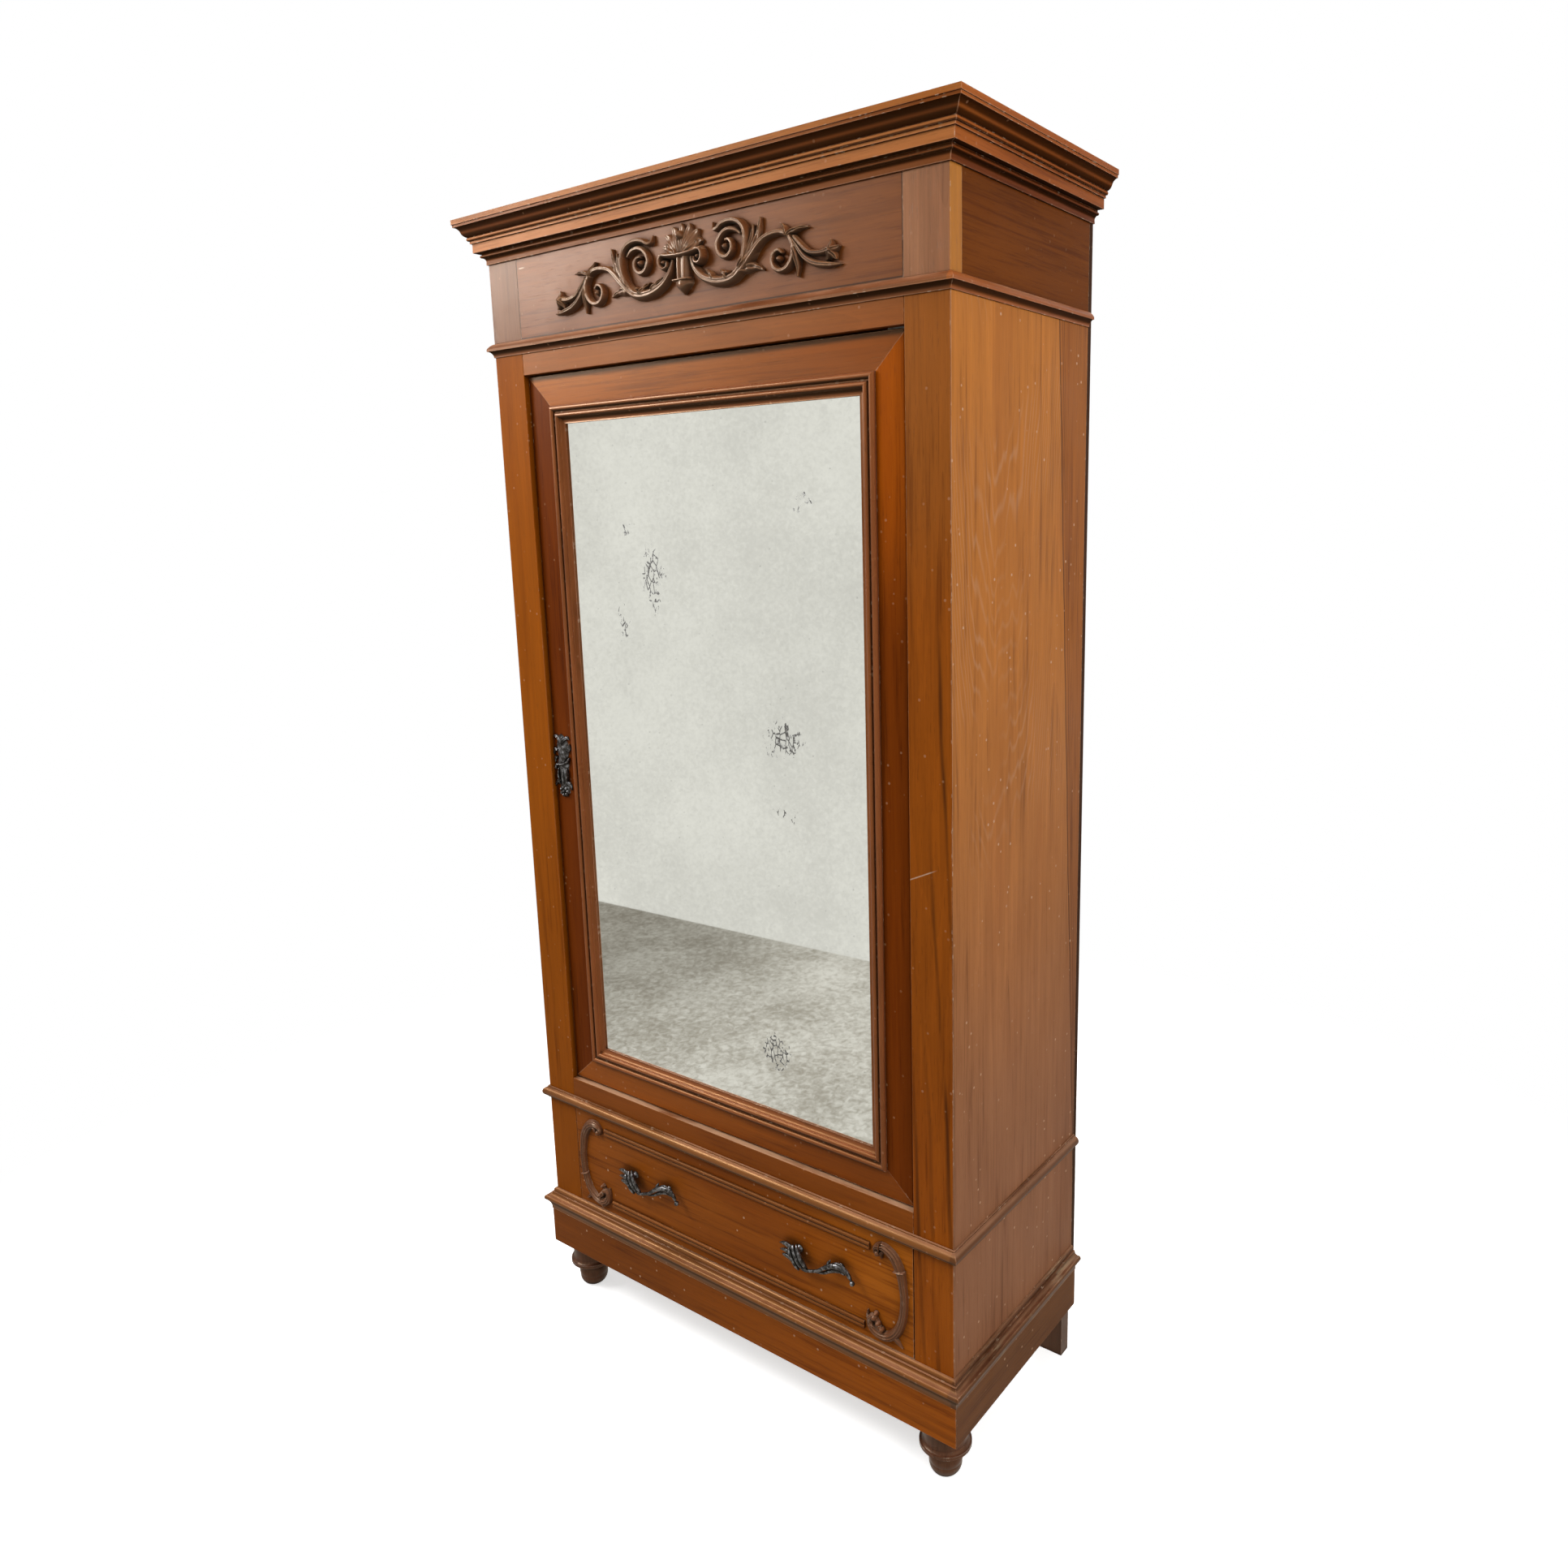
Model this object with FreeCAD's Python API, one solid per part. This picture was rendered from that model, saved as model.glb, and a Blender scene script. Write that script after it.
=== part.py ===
import FreeCAD, Part
import math
import os

# Mirrored armoire: a framed walnut cupboard with one mirrored door on pivots and one drawer below it.
# Millimetres, +Z up. The front faces -Y. The pieces are drawn with Y counted from the front plane of
# the stiles towards the back, and are moved once, at export, so that the origin lies on the floor
# under the middle of the whole outline.

Vec = FreeCAD.Vector

# Carcass
carcass_width = 1000.0
carcass_depth = 438.0
board_thickness = 22.0
stile_width = 78.0
back_thickness = 12.0
back_board_count = 5
back_board_gap = 0.6

# Heights, stacked from the floor
foot_height = 105.0
plinth_height = 77.0
base_rail_height = 48.0
drawer_opening_height = 212.0
bottom_rail_height = 64.0
door_opening_height = 1397.0
top_rail_height = 62.0
frieze_height = 140.0
cornice_height = 77.0

# Plinth and feet
plinth_projection = 9.0
plinth_thickness = 20.0
corner_block_side = 70.0
foot_sole_radius = 20.0
foot_ball_radius = 29.0
foot_ball_height = 44.0
foot_neck_radius = 24.0
foot_ring_radius = 46.0
foot_ring_height = 12.0
foot_ring_slope = 10.0
foot_drum_radius = 40.0
foot_dowel_radius = 12.0
foot_dowel_length = 40.0
dowel_clearance = 0.2
rear_foot_width = 60.0
rear_foot_depth = 28.0
rear_foot_inset = 4.0

# Base moulding: top bead, cove, rounded lip, and a hollow underside down to the plinth
base_bead_projection = 5.5
base_bead_height = 9.0
base_lip_projection = 18.5
base_lip_height = 10.0
base_lip_level = 21.0
base_foot_projection = 10.0
base_cove_step = 3.0

# Half-round bead between the drawer and the door
lower_bead_height = 25.0
lower_bead_projection = 12.0
lower_bead_fillet = 3.0

# Moulding between the door and the frieze
waist_height = 24.0
waist_projection = 11.0
waist_foot_projection = 2.0
waist_lip_height = 4.0
waist_top_slope = 9.0

# Frieze and cornice
frieze_stile_thickness = 30.0
cornice_projection = 44.0
cornice_board_thickness = 17.0
bed_foot_projection = 3.0
bed_fillet_height = 4.0
bed_cove_height = 8.0
bed_bead_height = 5.0
bed_projection = 8.0
soffit_height = 3.5
fascia_projection = 19.0
fascia_height = 16.0
corona_step_projection = 22.0
corona_step_height = 4.5
corona_projection = 24.5
corona_bead_height = 6.0
corona_bead_swell = 1.5
crown_reed_height = 4.5
crown_reed_setback = 1.5
crown_fillet_height = 8.5
crown_quirk = 1.5

# Cupboard inside
floor_drop = 6.0
floor_thickness = 16.0
ceiling_rise = 7.0
ceiling_thickness = 16.0
dust_board_thickness = 12.0
lower_bay_height = 442.0
middle_bay_height = 432.0
shelf_thickness = 18.0
shelf_setback = 60.0
shelf_end_gap = 1.0
cleat_height = 25.0
cleat_thickness = 18.0

# Door
door_gap = 1.5
door_end_gap = 3.5
door_recess = 10.0
door_thickness = 28.0
door_margin_side = 88.5
door_margin_top = 86.5
door_margin_bottom = 79.0
door_stop_length = 60.0
door_stop_depth = 20.0
door_stop_height = 26.0
door_stop_gap = 0.4
door_stop_from_middle = 330.0

# Planted moulding round the mirror, its width counted from the outer edge inwards
mirror_lip = 14.0
outer_bead_width = 10.0
outer_bead_height = 7.5
bead_groove_width = 2.5
bead_groove_height = 2.0
inner_bead_width = 9.5
inner_bead_height = 6.0
lip_cove_width = 10.0
mirror_moulding_edge = 3.0
lip_front_depth = 4.0
lip_back_depth = 7.0

# Mirror, its backing board and the strips that hold both
glass_thickness = 5.0
glass_edge_gap = 1.0
backing_thickness = 9.0
retainer_width = 14.0

# Door pivots at the top and the bottom of the hinge stile
pivot_setback = 8.0
pivot_pin_radius = 3.0
pivot_pin_length = 12.0
pivot_running_gap = 0.05
pivot_plate_length = 36.0
pivot_plate_width = 8.0
pivot_plate_thickness = 2.0
pivot_shoulder_radius = 4.5
pivot_shoulder_gap = 0.3
bush_radius = 4.6
bush_flange_radius = 6.5
bush_flange_thickness = 2.0
bush_length = 14.0
bush_seat_gap = 0.05

# Lock, keeper and escutcheon
lock_level = 1170.0
lock_case_width = 60.0
lock_case_height = 72.0
lock_case_depth = 16.0
lock_case_inset = 2.5
bolt_height = 16.0
bolt_depth = 8.0
bolt_length = 44.0
bolt_throw = 14.0
bolt_gap = 0.4
bolt_rise = 20.0
keeper_wall = 3.0
keeper_gap = 4.0
keeper_end_gap = 8.0
keeper_slot_gap = 1.5
key_from_edge = 24.5
keyhole_radius = 4.0
keyhole_slot_width = 4.5
keyhole_slot_length = 13.0
escutcheon_height = 124.0
escutcheon_width = 42.0
escutcheon_thickness = 3.0
escutcheon_boss_height = 5.0

# Drawer
drawer_gap = 1.5
drawer_runner_gap = 0.3
drawer_guide_gap = 0.6
drawer_board = 12.0
drawer_side_height = 165.0
drawer_rear_gap = 28.0
drawer_bottom_thickness = 8.0
drawer_bottom_lift = 10.0
drawer_back_drop = 12.0
runner_width = 72.0
runner_thickness = 20.0
guide_height = 30.0
drawer_stop_height = 25.0
drawer_stop_gap = 0.4

# Ornament planted on the drawer front
scroll_half_width = 9.0
scroll_thickness = 9.0
scroll_top_margin = 22.5
scroll_bottom_margin = 17.5
scroll_top_reach = 67.0
scroll_bottom_reach = 80.0
strip_width = 15.0
strip_thickness = 5.0
strip_groove = 2.5
strip_top_drop = 7.0
strip_bottom_rise = 5.0
strip_end_gap = 3.0

# Drawer pulls
pull_length = 164.0
pull_from_end = 208.5
pull_shift = 8.0
pull_stand_off = 16.0
pull_post_radius = 4.5
pull_bolt_radius = 2.5
pull_bolt_gap = 0.25
pull_bolt_head_radius = 5.5
pull_bolt_head_thickness = 3.0

# Frieze carving
carving_half_length = 316.0
carving_depth = 14.0
torch_depth = 19.0

# Levels and places worked out from the sizes above
half_width = carcass_width / 2
opening_half = half_width - stile_width
inner_half = half_width - board_thickness
plinth_bottom = foot_height
carcass_bottom = plinth_bottom + plinth_height
drawer_bottom_level = carcass_bottom + base_rail_height
drawer_top_level = drawer_bottom_level + drawer_opening_height
door_bottom_level = drawer_top_level + bottom_rail_height
door_top_level = door_bottom_level + door_opening_height
carcass_top = door_top_level + top_rail_height
frieze_top = carcass_top + frieze_height
armoire_top = frieze_top + cornice_height
back_plane = carcass_depth + back_thickness
cornice_board_bottom = armoire_top - cornice_board_thickness
door_half = opening_half - door_gap
door_low = door_bottom_level + door_end_gap
door_high = door_top_level - door_end_gap
door_front = door_recess
door_back = door_recess + door_thickness
pivot_x = door_half - pivot_setback
pivot_y = door_front + pivot_setback
door_middle = (door_bottom_level + door_top_level) / 2
sight_half = door_half - door_margin_side
sight_low = door_low + door_margin_bottom
sight_high = door_high - door_margin_top
mirror_moulding_width = outer_bead_width + bead_groove_width + inner_bead_width + lip_cove_width
hole_half = sight_half + mirror_lip
hole_low = sight_low - mirror_lip
hole_high = sight_high + mirror_lip
drawer_half = opening_half - drawer_gap
drawer_low = drawer_bottom_level + drawer_gap
drawer_high = drawer_top_level - drawer_gap
drawer_middle = (drawer_low + drawer_high) / 2
drawer_end = carcass_depth - drawer_rear_gap
scroll_rise = drawer_high - drawer_middle - scroll_top_margin
scroll_drop = drawer_middle - drawer_low - scroll_bottom_margin
floor_top = door_bottom_level - floor_drop
floor_low = floor_top - floor_thickness
ceiling_low = door_top_level + ceiling_rise
lower_shelf_top = floor_top + lower_bay_height + shelf_thickness
upper_shelf_top = lower_shelf_top + middle_bay_height + shelf_thickness
shelf_levels = (lower_shelf_top, upper_shelf_top)
key_x = -door_half + key_from_edge
lock_case_left = -door_half + lock_case_inset
bolt_level = lock_level + bolt_rise
plan_middle = (back_plane - cornice_projection) / 2


# Drawing helpers

def box(x_range, y_range, z_range):
    """A box from three (low, high) pairs."""
    corner = Vec(x_range[0], y_range[0], z_range[0])
    return Part.makeBox(x_range[1] - x_range[0], y_range[1] - y_range[0], z_range[1] - z_range[0], corner)


def prism(points, direction):
    """A flat polygon of vectors pushed along a vector."""
    return Part.Face(Part.makePolygon(list(points) + [points[0]])).extrude(direction)


def plan_prism(points, z_range):
    """A polygon in plan, given as (x, y) pairs, pushed up between two levels."""
    corners = [Vec(x, y, z_range[0]) for x, y in points]
    return prism(corners, Vec(0, 0, z_range[1] - z_range[0]))


def front_prism(points, y_range):
    """A polygon seen from the front, given as (x, z) pairs, pushed back between two depths."""
    corners = [Vec(x, y_range[0], z) for x, z in points]
    return prism(corners, Vec(0, y_range[1] - y_range[0], 0))


def outline_face(steps, place):
    """A face from a closed outline. A step is (a, b) for a straight line to that point, or
    (a, b, bulge) for an arc that stands out from its chord by bulge, to the right of its travel."""
    edges = []
    here = steps[0]
    for step in list(steps[1:]) + [steps[0][:2]]:
        start = place(here[0], here[1])
        end = place(step[0], step[1])
        if len(step) == 3:
            run_a = step[0] - here[0]
            run_b = step[1] - here[1]
            share = step[2] / math.hypot(run_a, run_b)
            middle_a = (here[0] + step[0]) / 2 + run_b * share
            middle_b = (here[1] + step[1]) / 2 - run_a * share
            edges.append(Part.Arc(start, place(middle_a, middle_b), end).toShape())
        else:
            edges.append(Part.LineSegment(start, end).toShape())
        here = step
    return Part.Face(Part.Wire(edges))


def mirrored(shape):
    """The same piece on the other side of the middle."""
    return shape.mirror(Vec(0, 0, 0), Vec(1, 0, 0))


def upside_down(shape):
    """The same piece at the other end of the door opening."""
    return shape.mirror(Vec(0, 0, door_middle), Vec(0, 0, 1))


def upright(radius, z_range, x, y):
    """A vertical cylinder."""
    return Part.makeCylinder(radius, z_range[1] - z_range[0], Vec(x, y, z_range[0]))


def across(radius, y_range, x, z):
    """A cylinder that runs from front to back."""
    return Part.makeCylinder(radius, y_range[1] - y_range[0], Vec(x, y_range[0], z), Vec(0, 1, 0))


def fused(shapes):
    """One solid from overlapping shapes."""
    whole = shapes[0].multiFuse(shapes[1:]) if len(shapes) > 1 else shapes[0]
    return whole.removeSplitter()


def ribbon(points, half_widths, y_range):
    """A band that follows a smooth line through (x, z) points and changes width along it."""
    line = Part.BSplineCurve()
    line.interpolate([Vec(x, y_range[0], z) for x, z in points])
    marks = [line.parameter(Vec(x, y_range[0], z)) for x, z in points]
    right_side = []
    left_side = []
    for start, end, width_start, width_end in zip(marks, marks[1:], half_widths, half_widths[1:]):
        for share in (0.0, 0.5):
            where = start + (end - start) * share
            width = width_start + (width_end - width_start) * share
            spot = line.value(where)
            heading = line.tangent(where)[0]
            side = Vec(heading.z, 0, -heading.x) * width
            right_side.append(spot + side)
            left_side.append(spot - side)
    tip = line.value(marks[-1])
    heading = line.tangent(marks[-1])[0]
    side = Vec(heading.z, 0, -heading.x) * half_widths[-1]
    right_side.append(tip + side)
    left_side.append(tip - side)
    right_edge = Part.BSplineCurve()
    right_edge.interpolate(right_side)
    left_edge = Part.BSplineCurve()
    left_edge.interpolate(left_side)
    edges = [
        right_edge.toShape(),
        Part.LineSegment(right_side[-1], left_side[-1]).toShape(),
        left_edge.toShape(),
        Part.LineSegment(left_side[0], right_side[0]).toShape(),
    ]
    return Part.Face(Part.Wire(Part.__sortEdges__(edges))).extrude(Vec(0, y_range[1] - y_range[0], 0))


def front_run(profile, projection, level):
    """A moulding along the front, mitred at both ends. The profile gives (projection, height)."""
    reach = half_width + projection
    face = outline_face(profile, lambda out, up: Vec(-reach, -out, level + up))
    bar = face.extrude(Vec(2 * reach, 0, 0))
    plan = [(-reach, -projection), (reach, -projection), (half_width, 0), (-half_width, 0)]
    return bar.common(plan_prism(plan, (level, level + armoire_top)))


def right_run(profile, projection, level, rear):
    """A moulding along the right side, mitred at the front and cut square at the back."""
    reach = half_width + projection
    face = outline_face(profile, lambda out, up: Vec(half_width + out, -projection, level + up))
    bar = face.extrude(Vec(0, rear + projection, 0))
    plan = [(half_width, 0), (reach, -projection), (reach, rear), (half_width, rear)]
    return bar.common(plan_prism(plan, (level, level + armoire_top)))


def wrap_round(profile, projection, level, rear):
    """Front, left and right lengths of one moulding."""
    right = right_run(profile, projection, level, rear)
    return [front_run(profile, projection, level), mirrored(right), right]


# Moulding profiles, as (projection, height)

def base_profile():
    lip_top = base_lip_level + base_lip_height
    bead_low = base_rail_height - base_bead_height
    return [
        (0, 0),
        (base_foot_projection, 0),
        (base_lip_projection, base_lip_level, -base_cove_step),
        (base_lip_projection, lip_top, base_lip_height / 4),
        (base_lip_projection - base_cove_step, lip_top),
        (base_bead_projection + base_cove_step, bead_low, -base_cove_step),
        (base_bead_projection, bead_low),
        (base_bead_projection, base_rail_height - base_bead_projection),
        (0, base_rail_height, base_bead_projection * (1 - math.sqrt(0.5))),
    ]


def lower_bead_profile():
    round_top = lower_bead_height - lower_bead_fillet
    round_height = round_top - lower_bead_fillet
    stand_out = lower_bead_projection - lower_bead_fillet
    return [
        (0, 0),
        (lower_bead_fillet, 0),
        (lower_bead_fillet, lower_bead_fillet),
        (lower_bead_fillet, lower_bead_fillet + round_height, stand_out),
        (lower_bead_fillet, lower_bead_height),
        (0, lower_bead_height),
    ]


def waist_profile():
    lip_top = waist_height - waist_top_slope
    lip_low = lip_top - waist_lip_height
    hollow_end = waist_projection - waist_foot_projection
    return [
        (0, 0),
        (waist_foot_projection, 0),
        (hollow_end, lip_low, -waist_foot_projection),
        (waist_projection, lip_low),
        (waist_projection, lip_top),
        (waist_foot_projection, waist_height, waist_foot_projection / 2),
        (0, waist_height),
    ]


def cornice_profile():
    """From below: bed cove and bead, soffit, flat fascia, a step and a bead, the crown, a reed and the top."""
    bed_cove_top = bed_fillet_height + bed_cove_height
    bed_top = bed_cove_top + bed_bead_height
    fascia_low = bed_top + soffit_height
    fascia_top = fascia_low + fascia_height
    corona_low = fascia_top + corona_step_height
    crown_low = corona_low + corona_bead_height
    reed_top = cornice_height - crown_fillet_height
    crown_top = reed_top - crown_reed_height
    reed_out = cornice_projection - crown_reed_setback
    crown_out = reed_out - crown_quirk
    crown_middle_out = (corona_projection + crown_out) / 2
    crown_middle_up = (crown_low + crown_top) / 2
    return [
        (0, 0),
        (bed_foot_projection, 0),
        (bed_foot_projection, bed_fillet_height),
        (bed_projection - crown_quirk, bed_cove_top, -crown_quirk),
        (bed_projection, bed_cove_top),
        (bed_projection, bed_top, bed_bead_height / 2),
        (bed_projection, fascia_low),
        (fascia_projection, fascia_low),
        (fascia_projection, fascia_top),
        (corona_step_projection, fascia_top),
        (corona_step_projection, corona_low),
        (corona_projection, corona_low),
        (corona_projection, crown_low, corona_bead_swell),
        (crown_middle_out, crown_middle_up, crown_quirk),
        (crown_out, crown_top, -crown_quirk),
        (reed_out, crown_top),
        (reed_out, reed_top),
        (cornice_projection, reed_top),
        (cornice_projection, cornice_height),
        (0, cornice_height),
    ]


# Carcass

def carcass_boards():
    """Sides and stiles that meet in a mitre at the front corners, and the three front rails."""
    heights = (carcass_bottom, carcass_top)
    stile = plan_prism([
        (opening_half, 0),
        (half_width, 0),
        (inner_half, board_thickness),
        (opening_half, board_thickness),
    ], heights)
    side = plan_prism([
        (half_width, 0),
        (half_width, carcass_depth),
        (inner_half, carcass_depth),
        (inner_half, board_thickness),
    ], heights)
    rail_x = (-opening_half, opening_half)
    rail_y = (0, board_thickness)
    return {
        "front_stile_left": [mirrored(stile)],
        "front_stile_right": [stile],
        "side_panel_left": [mirrored(side)],
        "side_panel_right": [side],
        "base_rail": [box(rail_x, rail_y, (carcass_bottom, drawer_bottom_level))],
        "bottom_rail": [box(rail_x, rail_y, (drawer_top_level, door_bottom_level))],
        "top_rail": [box(rail_x, rail_y, (door_top_level, carcass_top))],
    }


def inner_boards():
    """Dust board, cupboard floor and ceiling, and the shelves on their cleats."""
    board_x = (-inner_half, inner_half)
    board_y = (board_thickness, carcass_depth)
    shelf_x = (shelf_end_gap - inner_half, inner_half - shelf_end_gap)
    shelf_y = (shelf_setback, carcass_depth)
    shelves = []
    cleats = []
    for level in shelf_levels:
        cleat_top = level - shelf_thickness
        shelves.append(box(shelf_x, shelf_y, (cleat_top, level)))
        cleat_x = (inner_half - cleat_thickness, inner_half)
        cleat = box(cleat_x, shelf_y, (cleat_top - cleat_height, cleat_top))
        cleats += [mirrored(cleat), cleat]
    return {
        "dust_board": [box(board_x, board_y, (carcass_bottom, carcass_bottom + dust_board_thickness))],
        "cabinet_floor": [box(board_x, board_y, (floor_low, floor_top))],
        "cabinet_ceiling": [box(board_x, board_y, (ceiling_low, ceiling_low + ceiling_thickness))],
        "shelves": shelves,
        "shelf_cleats": cleats,
    }


def back_boards():
    """Upright boards nailed over the back edges of the sides, with a hairline gap between them."""
    pitch = carcass_width / back_board_count
    boards = []
    for number in range(back_board_count):
        left = -half_width + number * pitch + (back_board_gap if number else 0)
        right = -half_width + (number + 1) * pitch
        boards.append(box((left, right), (carcass_depth, back_plane), (carcass_bottom, cornice_board_bottom)))
    return {"back_boards": boards}


def frieze_and_cornice():
    """Frieze box above the waist moulding, and the cornice that wraps its top."""
    heights = (carcass_top, cornice_board_bottom)
    stile = box((opening_half, half_width), (0, frieze_stile_thickness), heights)
    side = box((inner_half, half_width), (frieze_stile_thickness, carcass_depth), heights)
    panel = box((-opening_half, opening_half), (0, board_thickness), heights)
    top = box((-half_width, half_width), (0, back_plane), (cornice_board_bottom, armoire_top))
    front, left, right = wrap_round(cornice_profile(), cornice_projection, frieze_top, back_plane)
    return {
        "frieze_panel": [panel],
        "frieze_stiles": [mirrored(stile), stile],
        "frieze_sides": [mirrored(side), side],
        "cornice_front": [front],
        "cornice_left": [left],
        "cornice_right": [right],
        "cornice_top": [top],
    }


def trim_mouldings():
    """The three mouldings that wrap the carcass below the frieze, each in three mitred lengths."""
    base_reach = base_lip_projection + base_lip_height / 4
    base = wrap_round(base_profile(), base_reach, carcass_bottom, carcass_depth)
    bead = wrap_round(lower_bead_profile(), lower_bead_projection, drawer_top_level, carcass_depth)
    waist = wrap_round(waist_profile(), waist_projection, carcass_top - waist_height, carcass_depth)
    return {"base_moulding": base, "lower_bead": bead, "waist_moulding": waist}


def plinth():
    """Mitred plinth with a block in each corner that takes a foot."""
    heights = (plinth_bottom, carcass_bottom)
    outer = half_width + plinth_projection
    inner = outer - plinth_thickness
    front = -plinth_projection
    front_inner = front + plinth_thickness
    back_inner = carcass_depth - plinth_thickness
    board = plan_prism([
        (-outer, front),
        (outer, front),
        (inner, front_inner),
        (-inner, front_inner),
    ], heights)
    side = plan_prism([
        (outer, front),
        (outer, carcass_depth),
        (inner, carcass_depth),
        (inner, front_inner),
    ], heights)
    rear = box((-inner, inner), (back_inner, carcass_depth), heights)
    block_x = (inner - corner_block_side, inner)
    front_block = box(block_x, (front_inner, front_inner + corner_block_side), heights)
    rear_block = box(block_x, (back_inner - corner_block_side, back_inner), heights)
    foot_x = inner - corner_block_side / 2
    foot_y = front_inner + corner_block_side / 2
    hole_top = plinth_bottom + foot_dowel_length + dowel_clearance
    hole = upright(foot_dowel_radius + dowel_clearance, (plinth_bottom, hole_top), foot_x, foot_y)
    front_block = front_block.cut(hole)
    foot = turned_foot(foot_x, foot_y)
    rear_x = (half_width - rear_foot_inset - rear_foot_width, half_width - rear_foot_inset)
    rear_foot = box(rear_x, (carcass_depth - rear_foot_depth, carcass_depth), (0, plinth_bottom))
    return {
        "plinth_front": [board],
        "plinth_left": [mirrored(side)],
        "plinth_right": [side],
        "plinth_back": [rear],
        "corner_blocks": [mirrored(front_block), front_block, mirrored(rear_block), rear_block],
        "front_foot_left": [mirrored(foot)],
        "front_foot_right": [foot],
        "rear_foot_left": [mirrored(rear_foot)],
        "rear_foot_right": [rear_foot],
    }


def turned_foot(x, y):
    """Ball, neck and flat ring turned in one piece, with a drum and a dowel above them."""
    ball_middle = foot_ball_height / 2
    ring_low = foot_ball_height + foot_ring_slope / 2
    ring_top = ring_low + foot_ring_height
    drum_low = ring_top + foot_ring_slope
    ball_swell = foot_ball_radius / 9
    profile = [
        (0, 0),
        (foot_sole_radius, 0),
        (foot_ball_radius, ball_middle, ball_swell),
        (foot_neck_radius, foot_ball_height, ball_swell),
        (foot_neck_radius, ring_low),
        (foot_ring_radius, ring_low + foot_ring_height / 2, ball_swell),
        (foot_ring_radius, ring_top),
        (foot_drum_radius, ring_top + foot_ring_slope / 2, -ball_swell / 3),
        (foot_drum_radius, drum_low),
        (foot_drum_radius, plinth_bottom),
        (foot_dowel_radius, plinth_bottom),
        (foot_dowel_radius, plinth_bottom + foot_dowel_length),
        (0, plinth_bottom + foot_dowel_length),
    ]
    face = outline_face(profile, lambda out, up: Vec(out, 0, up))
    foot = face.revolve(Vec(0, 0, 0), Vec(0, 0, 1), 360)
    foot.translate(Vec(x, y, 0))
    return foot


def carcass_fittings():
    """Drawer runners with their guides and stops, door stops, pivot plates with pins, and the keeper."""
    runner_top = drawer_low - drawer_runner_gap
    guide_inner = drawer_half + drawer_guide_gap
    runner_y = (board_thickness, carcass_depth)
    runner = front_prism([
        (inner_half - runner_width, runner_top - runner_thickness),
        (inner_half, runner_top - runner_thickness),
        (inner_half, runner_top + guide_height),
        (guide_inner, runner_top + guide_height),
        (guide_inner, runner_top),
        (inner_half - runner_width, runner_top),
    ], runner_y)
    stop_y = (drawer_end + drawer_stop_gap, carcass_depth)
    stop_x = (drawer_half - drawer_board, drawer_half)
    drawer_stop = box(stop_x, stop_y, (runner_top, runner_top + drawer_stop_height))
    door_stop_x = (-door_stop_from_middle - door_stop_length, -door_stop_from_middle)
    door_stop_y = (door_back + door_stop_gap, door_back + door_stop_gap + door_stop_depth)
    low_stop = box(door_stop_x, door_stop_y, (floor_top, door_low + door_stop_height))
    high_stop = box(door_stop_x, door_stop_y, (door_high - door_stop_height, ceiling_low))
    return {
        "drawer_runners": [mirrored(runner), runner],
        "drawer_stops": [mirrored(drawer_stop), drawer_stop],
        "door_stops": [low_stop, high_stop],
        "pivot_pins": [pivot_pin(), upside_down(pivot_pin())],
        "lock_keeper": [lock_keeper()],
    }


def pivot_pin():
    """Plate on the bottom rail with a shoulder under the door and a pin up into it."""
    plate_top = door_bottom_level + pivot_plate_thickness
    shoulder_top = door_low - pivot_shoulder_gap
    plate_x = (pivot_x + pivot_setback - pivot_plate_length, pivot_x + pivot_setback)
    plate_y = (pivot_y - pivot_plate_width / 2, pivot_y + pivot_plate_width / 2)
    plate = box(plate_x, plate_y, (door_bottom_level, plate_top))
    shoulder = upright(pivot_shoulder_radius, (plate_top, shoulder_top), pivot_x, pivot_y)
    pin = upright(pivot_pin_radius, (plate_top, shoulder_top + pivot_pin_length), pivot_x, pivot_y)
    return fused([plate, shoulder, pin])


def bolt_depths():
    """Front and back of the bolt, in the middle of the lock case."""
    middle = door_back + lock_case_depth / 2
    return (middle - bolt_depth / 2, middle + bolt_depth / 2)


def lock_keeper():
    """Iron box behind the left stile that takes the bolt."""
    bolt_y = bolt_depths()
    right = -opening_half - keeper_gap
    left = lock_case_left - bolt_throw - keeper_end_gap - keeper_wall
    slot_y = (bolt_y[0] - keeper_slot_gap, bolt_y[1] + keeper_slot_gap)
    half = bolt_height / 2 + keeper_slot_gap
    keeper = box((left, right), (board_thickness, slot_y[1] + keeper_wall),
                 (bolt_level - half - keeper_wall, bolt_level + half + keeper_wall))
    slot = box((left + keeper_wall, right), slot_y, (bolt_level - half, bolt_level + half))
    return keeper.cut(slot)


# Door

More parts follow.
